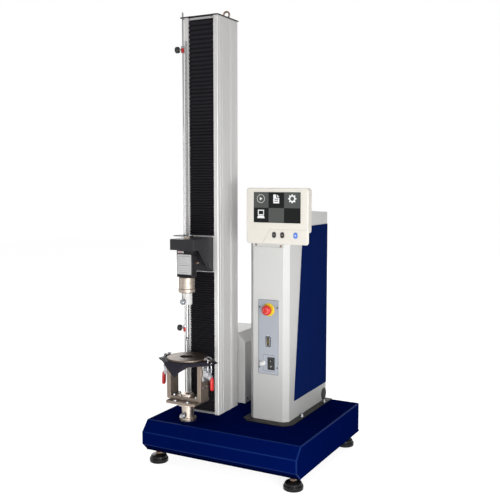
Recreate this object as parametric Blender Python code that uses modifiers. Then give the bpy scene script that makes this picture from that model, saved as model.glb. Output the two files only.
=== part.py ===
"""A single-column universal testing machine with a puncture fixture and a control tower.

Metres, +Z up. The origin is on the floor, under the middle of the base. +X is to the operator's right and
+Y to the rear. The loading axis is the vertical line through the load cell, the probe and the fixture.
"""

import math

import bmesh
import bpy
import numpy as np
from mathutils import Vector

# Clearances
GAP = 0.0003
RUNNING_GAP = 0.0006
CUT_MARGIN = 0.004

# Base cover and frame
FOOT_HEIGHT = 0.040
BASE_WIDTH = 0.540
BASE_DEPTH = 0.516
BASE_HEIGHT = 0.099
BASE_SHEET = 0.003
UPPER_CHAMFER_RUN = 0.030
UPPER_CHAMFER_DROP = 0.033
LOWER_CHAMFER_RUN = 0.027
LOWER_CHAMFER_RISE = 0.026
FRAME_HEIGHT = 0.040
FRAME_SIDE_INSET = 0.018
FRAME_REAR_INSET = 0.008
FRAME_BAR = 0.042
DRIVE_PLATE = 0.012
BASE_FRONT = -BASE_DEPTH / 2
BASE_REAR = BASE_DEPTH / 2
BASE_TOP = FOOT_HEIGHT + BASE_HEIGHT
FRAME_TOP = BASE_TOP - BASE_SHEET - GAP
FRAME_BOTTOM = FRAME_TOP - FRAME_HEIGHT
DECK = BASE_TOP + GAP

# Levelling feet
FOOT_SIDE_INSET = 0.032
FOOT_END_INSET = 0.048
PAD_RADIUS = 0.030
PAD_SHOULDER_RADIUS = 0.026
PAD_NECK_RADIUS = 0.013
PAD_RIM_HEIGHT = 0.012
PAD_HEIGHT = 0.029
STEM_RADIUS = 0.008
STEM_ENGAGEMENT = 0.022

# Column
COLUMN_X = -0.1465
COLUMN_WIDTH = 0.124
COLUMN_DEPTH = 0.130
COLUMN_HEIGHT = 1.2745
COLUMN_SETBACK = 0.1686
COLUMN_FLANGE = 0.0155
COLUMN_LIP = 0.018
COLUMN_SIDE_WALL = 0.008
COLUMN_REAR_WALL = 0.012
COLUMN_CORNER = 0.003
GROOVE_DEPTH = 0.0016
GROOVES = ((0.0125, 0.0030), (0.0275, 0.0022), (0.0775, 0.0022), (0.0845, 0.0022), (0.1150, 0.0022))
TOP_PLATE = 0.003
TOP_PLATE_OVERHANG = 0.003
COLUMN_FRONT = BASE_FRONT + COLUMN_SETBACK
COLUMN_TOP = DECK + COLUMN_HEIGHT
WINDOW = COLUMN_WIDTH - 2 * COLUMN_FLANGE
CAVITY = COLUMN_WIDTH - 2 * COLUMN_SIDE_WALL
CAVITY_REAR = COLUMN_FRONT + COLUMN_DEPTH - COLUMN_REAR_WALL

# Lifting eye
EYE_OFFSET = (0.0385, 0.0974)
EYE_RING_RADIUS = 0.0105
EYE_WIRE = 0.0030
EYE_COLLAR_RADIUS = 0.0075
EYE_COLLAR_HEIGHT = 0.005

# Linear drive inside the column
SCREW_SETBACK = 0.060
SCREW_RADIUS = 0.010
SCREW_JOURNAL = 0.008
RAIL_WIDTH = 0.023
RAIL_HEIGHT = 0.018
BEARING_HEIGHT = 0.026
BEARING_LIP = 0.0062
CARRIAGE_FROM_DECK = 0.4677
CARRIAGE_HEIGHT = 0.117
CARRIAGE_PLATE = 0.014
CARRIAGE_WIDTH = 0.080
CARRIAGE_EDGE = 0.003
NUT_RADIUS = 0.024
NUT_HEIGHT = 0.034
SCREW_Y = COLUMN_FRONT + SCREW_SETBACK
CARRIAGE_BOTTOM = DECK + CARRIAGE_FROM_DECK
CARRIAGE_TOP = CARRIAGE_BOTTOM + CARRIAGE_HEIGHT
SLIDE_CLEARANCE = 0.0010

# Bellows
PLEAT_DEPTH = 0.007
BELLOWS_BACKING = 0.0025
BELLOWS_SETBACK = 0.0012
UPPER_PITCH_LOW = 0.0080
UPPER_PITCH_TOP = 0.0150
LOWER_PITCH = 0.0075

# Belt drive
MOTOR_SETBACK = 0.1856
MOTOR_SQUARE = 0.086
MOTOR_BODY = 0.110
MOTOR_FLANGE = 0.012
MOTOR_CAP = 0.060
SHAFT_RADIUS = 0.007
SCREW_PULLEY_TEETH = 24
MOTOR_PULLEY_TEETH = 12
PULLEY_HEIGHT = 0.017
BELT_THICKNESS = 0.0025
BELT_WIDTH = 0.0115
TOOTH_PITCH = 0.008
TOOTH_DEPTH = 0.0014
SCREW_PULLEY_RADIUS = SCREW_PULLEY_TEETH * TOOTH_PITCH / (2 * math.pi)
MOTOR_PULLEY_RADIUS = MOTOR_PULLEY_TEETH * TOOTH_PITCH / (2 * math.pi)
MOTOR_Y = SCREW_Y + MOTOR_SETBACK
PULLEY_TOP = FRAME_TOP - DRIVE_PLATE - 0.0025

# Motor cover
COVER_WIDTH = 0.148
COVER_HEIGHT = 0.242
COVER_FRONT_GAP = 0.0274
COVER_DEPTH = 0.177
COVER_CHAMFER = 0.030
COVER_SHEET = 0.002

# Limit stops
ROD_RADIUS = 0.0025
ROD_FROM_COLUMN = 0.0081
ROD_SETBACK = 0.0064
ROD_ABOVE_PLATE = 0.017
ROD_FOOT_RADIUS = 0.0075
ROD_FOOT_HEIGHT = 0.009
COLLAR_RADIUS = 0.0063
COLLAR_HEIGHT = 0.021
STOP_KNOB_RADIUS = 0.0105
STOP_KNOB_LENGTH = 0.012
STOP_KNOB_NECK = 0.008
STOP_NECK_RADIUS = 0.003
UPPER_STOP_HEIGHT = 1.1785
LOWER_STOP_HEIGHT = 0.2745
ROD_X = COLUMN_X - COLUMN_WIDTH / 2 - ROD_FROM_COLUMN
ROD_Y = COLUMN_FRONT + ROD_SETBACK

# Scale strip
SCALE_WIDTH = 0.010
SCALE_THICKNESS = 0.0008
SCALE_LENGTH = 1.2030

# Crosshead arm
THROAT = 0.090
ARM_WIDTH = 0.086
ARM_REACH = 0.119
ARM_THICKNESS = 0.0345
ARM_BACK_PLATE = 0.010
GUSSET_THICKNESS = 0.012
GUSSET_REACH = 0.075
GUSSET_TIP = 0.0055
ARM_LOW_STEP = 0.003
ACTUATOR_THICKNESS = 0.003
ACTUATOR_WIDTH = 0.0185
ACTUATOR_INNER = 0.028
ACTUATOR_BEYOND_ROD = 0.0250
AXIS_Y = COLUMN_FRONT - THROAT
ARM_TOP = CARRIAGE_TOP - CARRIAGE_EDGE - 0.0014
ARM_BOTTOM = ARM_TOP - ARM_THICKNESS

# Load cell and probe
CELL_WIDTH = 0.057
CELL_DEPTH = 0.026
CELL_HEIGHT = 0.085
CELL_SLOT = 0.0030
CELL_SLOT_REACH = 0.042
CELL_SLOT_INSET = 0.013
COUPLING_RADIUS = 0.0252
COUPLING_HEIGHT = 0.0355
COUPLING_BORE = 0.0130
LOCK_RADIUS = 0.0262
LOCK_HEIGHT = 0.0125
SLEEVE_RADIUS = 0.0166
SLEEVE_HEIGHT = 0.038
SPIGOT_HEIGHT = 0.034
PROBE_RADIUS = 0.0048
PROBE_EXPOSED = 0.1162
PROBE_SEAT = 0.022
PIN_RADIUS = 0.0030
PIN_KNOB_RADIUS = 0.0085
PIN_KNOB_LENGTH = 0.013
PIN_NECK = 0.0022
CELL_TOP = ARM_BOTTOM - GAP
COUPLING_TOP = CELL_TOP - CELL_HEIGHT - GAP
LOCK_TOP = COUPLING_TOP - COUPLING_HEIGHT - GAP
SLEEVE_TOP = LOCK_TOP - LOCK_HEIGHT - GAP
SLEEVE_BOTTOM = SLEEVE_TOP - SLEEVE_HEIGHT

# Fixture on the base
STEM_FIXTURE_RADIUS = 0.0190
STEM_FLANGE_RADIUS = 0.031
STEM_FLANGE = 0.0100
STEM_HEIGHT = 0.0610
STEM_SPIGOT_RADIUS = 0.0125
STEM_SPIGOT = 0.028
NUT_RING_RADIUS = 0.027
NUT_RING_HEIGHT = 0.0135
NUT_SLOTS = 6
NUT_SLOT_WIDTH = 0.006
NUT_SLOT_DEPTH = 0.003
FIXTURE_PIN_HEIGHT = 0.0225
PLATE_WIDTH = 0.106
PLATE_DEPTH = 0.090
PLATE_THICKNESS = 0.009
PLATE_HOLE_RADIUS = 0.0033
PLATE_HOLE_X = 0.0235
PLATE_HOLE_Y = 0.038
FIXTURE_WIDTH = 0.127
FIXTURE_DEPTH = 0.046
UPRIGHT_THICKNESS = 0.0138
WEB_THICKNESS = 0.0104
SEAT_THICKNESS = 0.008
SEAT_RADIUS = 0.0625
SEAT_HEIGHT = 0.3395
FIXTURE_BEND = 0.004
RING_RADIUS = 0.065
RING_THICKNESS = 0.0052
RING_HOLE_RADIUS = 0.0230
EAR_REACH = 0.0875
EAR_WIDTH = 0.014
SHEET_SIDE = 0.160
SHEET_THICKNESS = 0.0012
SHEET_HOLE_RADIUS = 0.0085
SHEET_STEP = 0.0075
FOLD_LENGTH = 0.004
# Of each corner: axis, side, first angle in degrees, and degrees more per metre beyond the ring
CORNER_BENDS = ((1, -1, 50.0, 1200.0), (1, 1, 50.0, 1200.0), (0, -1, 5.0, 320.0), (0, 1, 2.0, 60.0))
STEM_TOP = DECK + STEM_HEIGHT
PLATE_BOTTOM = STEM_TOP + GAP
WEB_BOTTOM = PLATE_BOTTOM + PLATE_THICKNESS + GAP
SHEET_BOTTOM = SEAT_HEIGHT + GAP
RING_BOTTOM = SHEET_BOTTOM + SHEET_THICKNESS + GAP

# Latches, measured from the outer face of an upright
LATCH_PIVOT_OUT = 0.0110
LATCH_PIVOT_HEIGHT = 0.302
LATCH_HOOK_OUT = 0.0032
LATCH_HOOK_DROP = 0.0121
LATCH_PLATE = 0.0025
LATCH_PLATE_LOW = 0.275
LATCH_PLATE_HIGH = 0.325
LATCH_EAR = 0.0020
LATCH_EAR_Y = 0.0127
PIVOT_RADIUS = 0.0025
LEVER_WIDTH = 0.010
LEVER_EYE = 0.0058
GRIP_OUT = 0.0262
GRIP_TOP = 0.284
GRIP_LENGTH = 0.041
GRIP_WIDTH = 0.015
GRIP_THICKNESS = 0.0085
HOOK_WIRE = 0.0019
HOOK_LEG_Y = 0.0103
HOOK_LEG_OUT = 0.0180
HOOK_BAR_IN = 0.0050
HOOK_BEND = 0.0045

# Control tower
TOWER_X = 0.0822
TOWER_WIDTH = 0.136
TOWER_FRONT_SETBACK = 0.190
TOWER_DEPTH = 0.318
TOWER_CHAMFER = 0.016
TOWER_HEIGHT_FRONT = 0.6690
TOWER_HEIGHT_REAR = 0.6510
TOWER_SHEET = 0.002
PLINTH_THICKNESS = 0.003
PLINTH_SIDE = 0.022
PLINTH_FRONT = 0.030
PLINTH_REAR = 0.005
PLINTH_CHAMFER = 0.024
TOWER_FRONT = BASE_FRONT + TOWER_FRONT_SETBACK
TOWER_REAR = TOWER_FRONT + TOWER_DEPTH
TOWER_BOTTOM = DECK + PLINTH_THICKNESS + GAP
TOWER_RIGHT = TOWER_X + TOWER_WIDTH / 2

# Blue side panel, measured from the tower's rear edge and foot
PANEL_THICKNESS = 0.0015
PANEL_LOW = 0.058
PANEL_HIGH = 0.611
PANEL_REACH_LOW = 0.265
PANEL_REACH_HIGH = 0.203
PANEL_REAR_INSET = 0.003

# Cable plug
PLUG_RADIUS = 0.020
PLUG_DOME = 0.003
PLUG_NECK_RADIUS = 0.015
PLUG_NECK = 0.006
PLUG_FROM_REAR = 0.023
PLUG_HEIGHT = 0.0215

# Control plate and what is on it, measured from the plate's centre
CONTROL_OFFSET_X = 0.0028
CONTROL_WIDTH = 0.070
CONTROL_HEIGHT = 0.237
CONTROL_CENTRE_HEIGHT = 0.4105
CONTROL_THICKNESS = 0.002
CONTROL_CORNER = 0.002
ESTOP_AT = (0.001, 0.0875)
ESTOP_COLLAR_RADIUS = 0.0205
ESTOP_COLLAR_HEIGHT = 0.006
ESTOP_NECK_RADIUS = 0.0095
ESTOP_HEAD_RADIUS = 0.0160
ESTOP_HEAD_BASE = 0.0115
ESTOP_HEAD_HEIGHT = 0.0130
ESTOP_BODY = 0.030
SOCKET_AT = (-0.0004, -0.0140)
SOCKET_SIZE = (0.0175, 0.0330)
SOCKET_HEIGHT = 0.004
ROCKER_AT = (0.0102, -0.0835)
ROCKER_FRAME = (0.0240, 0.0400)
ROCKER_FRAME_HEIGHT = 0.0025
ROCKER_SIZE = (0.0180, 0.0320)
ROCKER_TILT = 9.0
KNOB_AT = (-0.0185, -0.0838)
KNOB_RADIUS = 0.0088
KNOB_HEIGHT = 0.012
KNOB_SKIRT = 0.003
KNOB_SHAFT = 0.003

# Display
DISPLAY_CENTRE_X = 0.1314
DISPLAY_CENTRE_HEIGHT = 0.7934
DISPLAY_WIDTH = 0.2075
DISPLAY_HEIGHT = 0.1705
DISPLAY_CORNER = 0.008
DISPLAY_FACE = 0.008
DISPLAY_BACK = 0.010
DISPLAY_BACK_STEP = 0.034
DISPLAY_BOX = (0.150, 0.110, 0.0192)
DISPLAY_BOX_AT = (-0.006, 0.004)
HOUSING_LAP = 0.002
BRACKET_LAP = 0.0012
BRACKET_THICKNESS = 0.0025
BRACKET_BELOW = 0.0165
SCREEN_SIZE = (0.157, 0.0925)
SCREEN_AT = (-0.0003, 0.0260)
SCREEN_RECESS = 0.0030
BUTTON_AT = (-0.0090, 0.0186, 0.0626)
BUTTON_LOW = -0.0570
BUTTON_SIZE = (0.0130, 0.0180)
BUTTON_HEIGHT = 0.0022
BUTTON_TRAVEL = 0.0012
DISPLAY_BACK_Y = TOWER_FRONT - BRACKET_THICKNESS - GAP - DISPLAY_BOX[2]
DISPLAY_FRONT = DISPLAY_BACK_Y - DISPLAY_BACK - DISPLAY_FACE

LYING = (0.0, 0.0, 0.0)
FACING_FRONT = (math.pi / 2, 0.0, 0.0)
FACING_RIGHT = (math.pi / 2, 0.0, math.pi / 2)
POINTING_LEFT = (0.0, -math.pi / 2, 0.0)
POINTING_RIGHT = (0.0, math.pi / 2, 0.0)


def clear_scene():
    for item in list(bpy.data.objects):
        bpy.data.objects.remove(item, do_unlink=True)


def new_collection(name):
    made = bpy.data.collections.new(name)
    bpy.context.scene.collection.children.link(made)
    return made


def material(name, colour, roughness, metallic):
    """One Principled material, made once under its name."""
    made = bpy.data.materials.get(name)
    if made is None:
        made = bpy.data.materials.new(name)
        made.use_nodes = True
        shader = made.node_tree.nodes["Principled BSDF"]
        shader.inputs["Base Color"].default_value = (*colour, 1.0)
        shader.inputs["Roughness"].default_value = roughness
        shader.inputs["Metallic"].default_value = metallic
    return made


def navy_paint():
    return material("navy_paint", (0.004, 0.010, 0.075), 0.38, 0.0)


def grey_paint():
    return material("grey_paint", (0.56, 0.56, 0.55), 0.45, 0.0)


def black_paint():
    return material("black_paint", (0.022, 0.022, 0.026), 0.42, 0.0)


def black_rubber():
    return material("black_rubber", (0.012, 0.012, 0.013), 0.75, 0.0)


def bellows_cloth():
    return material("bellows_cloth", (0.010, 0.010, 0.011), 0.70, 0.0)


def anodised_aluminium():
    return material("anodised_aluminium", (0.72, 0.72, 0.72), 0.36, 0.9)


def bright_steel():
    return material("bright_steel", (0.60, 0.60, 0.61), 0.25, 1.0)


def nickel_steel():
    return material("nickel_steel", (0.47, 0.41, 0.37), 0.34, 1.0)


def frame_steel():
    return material("frame_steel", (0.22, 0.22, 0.23), 0.55, 0.8)


def red_plastic():
    return material("red_plastic", (0.70, 0.015, 0.010), 0.35, 0.0)


def yellow_plastic():
    return material("yellow_plastic", (0.85, 0.52, 0.01), 0.40, 0.0)


def white_plastic():
    return material("white_plastic", (0.85, 0.85, 0.84), 0.35, 0.0)


def cream_plastic():
    return material("cream_plastic", (0.80, 0.77, 0.70), 0.42, 0.0)


def black_plastic():
    return material("black_plastic", (0.015, 0.015, 0.016), 0.40, 0.0)


def blue_plastic():
    return material("blue_plastic", (0.10, 0.22, 0.75), 0.35, 0.0)


def screen_glass():
    return material("screen_glass", (0.03, 0.03, 0.033), 0.12, 0.0)


def panel_film():
    return material("panel_film", (0.46, 0.49, 0.56), 0.45, 0.0)


def white_scale():
    return material("white_scale", (0.68, 0.68, 0.67), 0.40, 0.0)


def specimen_film():
    return material("specimen_film", (0.035, 0.032, 0.042), 0.55, 0.0)


def joint_empty(name, at):
    """An empty on a joint's axis; the pieces that move with the joint are its children."""
    empty = bpy.data.objects.new(name, None)
    empty.location = at
    empty.empty_display_size = 0.02
    PARTS.objects.link(empty)
    return empty


def put(piece, at, finish=None, carrier=None, turn=LYING):
    """Places a piece by its own origin, in world coordinates, under the empty that carries it."""
    carrier_at = carrier.location if carrier else Vector((0.0, 0.0, 0.0))
    piece.parent = carrier
    piece.location = Vector(at) - carrier_at
    piece.rotation_euler = turn
    if finish:
        piece.data.materials.append(finish)
    return piece


def piece_from(name, mesh, smooth=True):
    piece = bpy.data.objects.new(name, mesh)
    PARTS.objects.link(piece)
    if smooth:
        mesh.shade_smooth()
        mesh.set_sharp_from_angle(angle=math.radians(35))
    return piece


def box(name, low, high):
    """A box between two corners, from the cube primitive, with its origin at the world origin's offset low."""
    mesh = bpy.data.meshes.new(name)
    made = bmesh.new()
    bmesh.ops.create_cube(made, size=1.0)
    for vertex in made.verts:
        for axis in range(3):
            vertex.co[axis] = low[axis] + (vertex.co[axis] + 0.5) * (high[axis] - low[axis])
    made.to_mesh(mesh)
    made.free()
    return piece_from(name, mesh, smooth=False)


def centred_box(name, width, depth, height, base=0.0):
    """A box standing on base, centred in X and Y."""
    return box(name, (-width / 2, -depth / 2, base), (width / 2, depth / 2, base + height))


def rod(name, radius, low, high, sides=20):
    """A cylinder along its own Z from the cone primitive."""
    mesh = bpy.data.meshes.new(name)
    made = bmesh.new()
    bmesh.ops.create_cone(
        made, cap_ends=True, segments=sides, radius1=radius, radius2=radius, depth=high - low
    )
    bmesh.ops.translate(made, verts=made.verts, vec=(0.0, 0.0, (high + low) / 2))
    made.to_mesh(mesh)
    made.free()
    return piece_from(name, mesh)


def flat(name, loops, thickness):
    """A flat outline with its holes, from a 2D curve, lying on its own XY plane and thickness high."""
    curve = bpy.data.curves.new(name, "CURVE")
    curve.dimensions = "2D"
    curve.fill_mode = "BOTH"
    curve.extrude = thickness / 2
    for loop in loops:
        spline = curve.splines.new("POLY")
        spline.points.add(len(loop) - 1)
        for point, (x, y) in zip(spline.points, loop):
            point.co = (x, y, 0.0, 1.0)
        spline.use_cyclic_u = True
    guide = bpy.data.objects.new(name + "_outline", curve)
    bpy.context.scene.collection.objects.link(guide)
    bpy.context.view_layer.update()
    graph = bpy.context.evaluated_depsgraph_get()
    mesh = bpy.data.meshes.new_from_object(guide.evaluated_get(graph))
    bpy.data.objects.remove(guide, do_unlink=True)
    welded = bmesh.new()
    welded.from_mesh(mesh)
    bmesh.ops.remove_doubles(welded, verts=welded.verts, dist=1e-6)
    bmesh.ops.recalc_face_normals(welded, faces=welded.faces)
    bmesh.ops.translate(welded, verts=welded.verts, vec=(0.0, 0.0, thickness / 2))
    welded.to_mesh(mesh)
    welded.free()
    mesh.name = name
    return piece_from(name, mesh)


def turned(name, profile, steps=40, closed=False):
    """A turned shape: a profile of (radius, height) points that runs down its outer side, and a Screw modifier.

    A closed profile makes a ring. An open one starts and ends on the axis.
    """
    mesh = bpy.data.meshes.new(name)
    made = bmesh.new()
    points = [made.verts.new((radius, 0.0, height)) for radius, height in profile]
    for first, second in zip(points, points[1:]):
        made.edges.new((first, second))
    if closed:
        made.edges.new((points[-1], points[0]))
    made.to_mesh(mesh)
    made.free()
    piece = bpy.data.objects.new(name, mesh)
    PARTS.objects.link(piece)
    screw = piece.modifiers.new("turn", "SCREW")
    screw.steps = steps
    screw.render_steps = steps
    screw.use_merge_vertices = True
    screw.merge_threshold = 0.00001
    screw.use_smooth_shade = True
    return piece


def wire(name, points, radius, resolution=2, cyclic=False):
    """A bent rod: a poly curve with a round bevel and filled caps, made a mesh with its caps welded."""
    curve = bpy.data.curves.new(name, "CURVE")
    curve.dimensions = "3D"
    curve.bevel_depth = radius
    curve.bevel_resolution = resolution
    curve.use_fill_caps = True
    curve.twist_mode = "MINIMUM"
    spline = curve.splines.new("POLY")
    spline.points.add(len(points) - 1)
    for point, where in zip(spline.points, points):
        point.co = (*where, 1.0)
    spline.use_cyclic_u = cyclic
    guide = bpy.data.objects.new(name + "_path", curve)
    bpy.context.scene.collection.objects.link(guide)
    bpy.context.view_layer.update()
    graph = bpy.context.evaluated_depsgraph_get()
    mesh = bpy.data.meshes.new_from_object(guide.evaluated_get(graph))
    bpy.data.objects.remove(guide, do_unlink=True)
    welded = bmesh.new()
    welded.from_mesh(mesh)
    bmesh.ops.remove_doubles(welded, verts=welded.verts, dist=1e-6)
    bmesh.ops.recalc_face_normals(welded, faces=welded.faces)
    welded.to_mesh(mesh)
    welded.free()
    mesh.name = name
    return piece_from(name, mesh)


def helper(piece):
    """Moves an operand of a Boolean to the cutters, out of the renders."""
    PARTS.objects.unlink(piece)
    CUTTERS.objects.link(piece)
    piece.hide_render = True
    piece.display_type = "WIRE"
    return piece


def combine(target, operand, operation):
    """Adds a Boolean with an operand that is already in its place in the target's own frame."""
    operand.parent = target
    helper(operand)
    modifier = target.modifiers.new(operation.lower() + "_" + operand.name, "BOOLEAN")
    modifier.operation = operation
    modifier.solver = "EXACT"
    modifier.object = operand
    return target


def cut(target, *cutters):
    for cutter in cutters:
        combine(target, cutter, "DIFFERENCE")
    return target


def weld_on(target, *pieces):
    for piece in pieces:
        combine(target, piece, "UNION")
    return target


def shifted(piece, at, turn=LYING):
    """Sets a piece's place before it is used as an operand."""
    piece.location = at
    piece.rotation_euler = turn
    return piece


def soften(piece, width, segments=2, angle=30.0):
    bevel = piece.modifiers.new("soft_edges", "BEVEL")
    bevel.width = width
    bevel.segments = segments
    bevel.limit_method = "ANGLE"
    bevel.angle_limit = math.radians(angle)
    return piece


def rectangle(width, height, centre=(0.0, 0.0)):
    x, y = centre
    return [
        (x - width / 2, y - height / 2),
        (x + width / 2, y - height / 2),
        (x + width / 2, y + height / 2),
        (x - width / 2, y + height / 2),
    ]


def circle(radius, centre=(0.0, 0.0), sides=40):
    return [
        (centre[0] + radius * math.cos(turn), centre[1] + radius * math.sin(turn))
        for turn in np.linspace(0.0, 2 * math.pi, sides, endpoint=False)
    ]


def rounded(points, radius, steps=4):
    """The outline with each corner replaced by an arc that touches both of its edges."""
    result = []
    for index, corner in enumerate(points):
        before = Vector(points[index - 1]) - Vector(corner)
        after = Vector(points[(index + 1) % len(points)]) - Vector(corner)
        half = before.angle(after) / 2
        reach = min(radius / math.tan(half), 0.49 * before.length, 0.49 * after.length)
        arc_radius = reach * math.tan(half)
        middle = Vector(corner) + (before.normalized() + after.normalized()).normalized() * (
            arc_radius / math.sin(half)
        )
        first = Vector(corner) + before.normalized() * reach - middle
        last = Vector(corner) + after.normalized() * reach - middle
        for step in range(steps + 1):
            share = step / steps
            swing = first.angle_signed(last) * share
            turned_point = middle + Vector(
                (
                    first.x * math.cos(-swing) - first.y * math.sin(-swing),
                    first.x * math.sin(-swing) + first.y * math.cos(-swing),
                )
            )
            result.append((turned_point.x, turned_point.y))
    return result


def inset(points, distances):
    """The outline with edge i, from point i to the next, moved inwards by distances[i] (counterclockwise outline)."""
    moved = []
    for index, distance in enumerate(distances):
        start = Vector(points[index])
        end = Vector(points[(index + 1) % len(points)])
        along = (end - start).normalized()
        inwards = Vector((-along.y, along.x))
        moved.append((start + inwards * distance, along))
    result = []
    for index in range(len(points)):
        origin_a, along_a = moved[index - 1]
        origin_b, along_b = moved[index]
        across = along_a.x * along_b.y - along_a.y * along_b.x
        between = origin_b - origin_a
        share = (between.x * along_b.y - between.y * along_b.x) / across
        meeting = origin_a + along_a * share
        result.append((meeting.x, meeting.y))
    return result


def chamfered_front(width, front, rear, chamfer):
    """A plan outline, counterclockwise, whose two front corners are cut at 45 degrees."""
    half = width / 2
    return [
        (-half + chamfer, front),
        (half - chamfer, front),
        (half, front + chamfer),
        (half, rear),
        (-half, rear),
        (-half, front + chamfer),
    ]


def base_outline():
    """The base cover's side view in (Y, Z), counterclockwise from the lower front corner."""
    return [
        (BASE_FRONT + LOWER_CHAMFER_RUN, FOOT_HEIGHT),
        (BASE_REAR, FOOT_HEIGHT),
        (BASE_REAR, BASE_TOP),
        (BASE_FRONT + UPPER_CHAMFER_RUN, BASE_TOP),
        (BASE_FRONT, BASE_TOP - UPPER_CHAMFER_DROP),
        (BASE_FRONT, FOOT_HEIGHT + LOWER_CHAMFER_RISE),
    ]


def base_cover():
    outline = base_outline()
    shell = flat("base_cover", [outline], BASE_WIDTH)
    hollow_outline = inset(outline, [-CUT_MARGIN] + [BASE_SHEET] * (len(outline) - 1))
    hollow = flat("base_cover_hollow", [hollow_outline], BASE_WIDTH - 2 * BASE_SHEET)
    cut(shell, shifted(hollow, (0.0, 0.0, BASE_SHEET)))
    holes = (
        ("screw", SCREW_JOURNAL + RUNNING_GAP + GAP, COLUMN_X, SCREW_Y),
        ("motor", SHAFT_RADIUS + RUNNING_GAP + GAP, COLUMN_X, MOTOR_Y),
        ("stem", STEM_SPIGOT_RADIUS + GAP, COLUMN_X, AXIS_Y),
    )
    left = -BASE_WIDTH / 2
    for label, radius, x, y in holes:
        hole = rod("base_cover_hole_" + label, radius, -CUT_MARGIN - BASE_SHEET, CUT_MARGIN)
        # The shell's own axes are (Y, Z, X), so a vertical hole is turned to lie along its own Y.
        cut(shell, shifted(hole, (y, BASE_TOP, x - left), FACING_FRONT))
        hole.rotation_euler = (-math.pi / 2, 0.0, 0.0)
    return put(shell, (left, 0.0, 0.0), navy_paint(), BASE, FACING_RIGHT)


def foot_places():
    side = BASE_WIDTH / 2 - FOOT_SIDE_INSET
    end = BASE_DEPTH / 2 - FOOT_END_INSET
    return {
        "front_left": (-side, -end),
        "front_right": (side, -end),
        "rear_left": (-side, end),
        "rear_right": (side, end),
    }


def base_frame():
    half = BASE_WIDTH / 2 - FRAME_SIDE_INSET
    front = BASE_FRONT + UPPER_CHAMFER_RUN + 2 * BASE_SHEET
    rear = BASE_REAR - FRAME_REAR_INSET
    drive_half = SCREW_PULLEY_RADIUS + 4 * BELT_THICKNESS
    drive_front = SCREW_Y - drive_half
    drive_rear = MOTOR_Y + drive_half
    tower_left = COLUMN_X + drive_half + FRAME_BAR
    windows = [
        [
            (COLUMN_X - drive_half, drive_front),
            (COLUMN_X + drive_half, drive_front),
            (COLUMN_X + drive_half, drive_rear),
            (COLUMN_X - drive_half, drive_rear),
        ],
        [
            (tower_left, front + 2 * FRAME_BAR),
            (half - FRAME_BAR, front + 2 * FRAME_BAR),
            (half - FRAME_BAR, rear - FRAME_BAR),
            (tower_left, rear - FRAME_BAR),
        ],
    ]
    outer = [(-half, front), (half, front), (half, rear), (-half, rear)]
    frame = flat("base_frame", [outer] + windows, FRAME_HEIGHT)
    plate = box(
        "base_frame_drive_plate",
        (COLUMN_X - drive_half - DRIVE_PLATE, drive_front - DRIVE_PLATE, FRAME_HEIGHT - DRIVE_PLATE),
        (COLUMN_X + drive_half + DRIVE_PLATE, drive_rear + DRIVE_PLATE, FRAME_HEIGHT),
    )
    weld_on(frame, plate)
    stem_hole = STEM_SPIGOT_RADIUS + GAP
    stem_floor = FRAME_HEIGHT - STEM_SPIGOT + BASE_SHEET
    cutters = [
        shifted(
            rod("base_frame_screw_hole", SCREW_JOURNAL + RUNNING_GAP, -CUT_MARGIN, FRAME_HEIGHT + CUT_MARGIN),
            (COLUMN_X, SCREW_Y, 0.0),
        ),
        shifted(
            rod("base_frame_motor_hole", SHAFT_RADIUS + RUNNING_GAP, -CUT_MARGIN, FRAME_HEIGHT + CUT_MARGIN),
            (COLUMN_X, MOTOR_Y, 0.0),
        ),
        shifted(
            rod("base_frame_stem_hole", stem_hole, stem_floor, FRAME_HEIGHT + CUT_MARGIN),
            (COLUMN_X, AXIS_Y, 0.0),
        ),
    ]
    for label, (x, y) in foot_places().items():
        hole = rod("base_frame_foot_" + label, STEM_RADIUS + GAP, -CUT_MARGIN, STEM_ENGAGEMENT + GAP, 18)
        cutters.append(shifted(hole, (x, y, 0.0)))
    cut(frame, *cutters)
    return put(frame, (0.0, 0.0, FRAME_BOTTOM), frame_steel(), BASE)


def levelling_foot(label, x, y):
    profile = [
        (0.0, FRAME_BOTTOM + STEM_ENGAGEMENT),
        (STEM_RADIUS, FRAME_BOTTOM + STEM_ENGAGEMENT),
        (STEM_RADIUS, PAD_HEIGHT),
        (PAD_NECK_RADIUS, PAD_HEIGHT),
        (PAD_SHOULDER_RADIUS - 0.004, PAD_HEIGHT - 0.007),
        (PAD_SHOULDER_RADIUS, PAD_HEIGHT - 0.010),
        (PAD_SHOULDER_RADIUS + 0.001, PAD_RIM_HEIGHT + 0.002),
        (PAD_RADIUS - 0.001, PAD_RIM_HEIGHT),
        (PAD_RADIUS, PAD_RIM_HEIGHT - 0.002),
        (PAD_RADIUS, 0.0),
        (0.0, 0.0),
    ]
    foot = turned("levelling_foot_" + label, profile, steps=24)
    return put(foot, (x, y, 0.0), black_rubber(), BASE)


def column_outline():
    """The extrusion's section in plan: a C that is open at the front, with grooves along both sides."""
    half = COLUMN_WIDTH / 2
    side = [(WINDOW / 2, 0.0), (half - COLUMN_CORNER, 0.0), (half, COLUMN_CORNER)]
    for start, width in GROOVES:
        side += [
            (half, start),
            (half - GROOVE_DEPTH, start + GROOVE_DEPTH / 4),
            (half - GROOVE_DEPTH, start + width - GROOVE_DEPTH / 4),
            (half, start + width),
        ]
    side += [(half, COLUMN_DEPTH - COLUMN_CORNER), (half - COLUMN_CORNER, COLUMN_DEPTH)]
    inner = [
        (CAVITY / 2, COLUMN_DEPTH - COLUMN_REAR_WALL),
        (CAVITY / 2, COLUMN_LIP),
        (WINDOW / 2, COLUMN_LIP),
    ]
    mirrored_side = [(-x, y) for x, y in reversed(side)]
    mirrored_inner = [(-x, y) for x, y in reversed(inner)]
    return side + mirrored_side + mirrored_inner + inner


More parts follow.
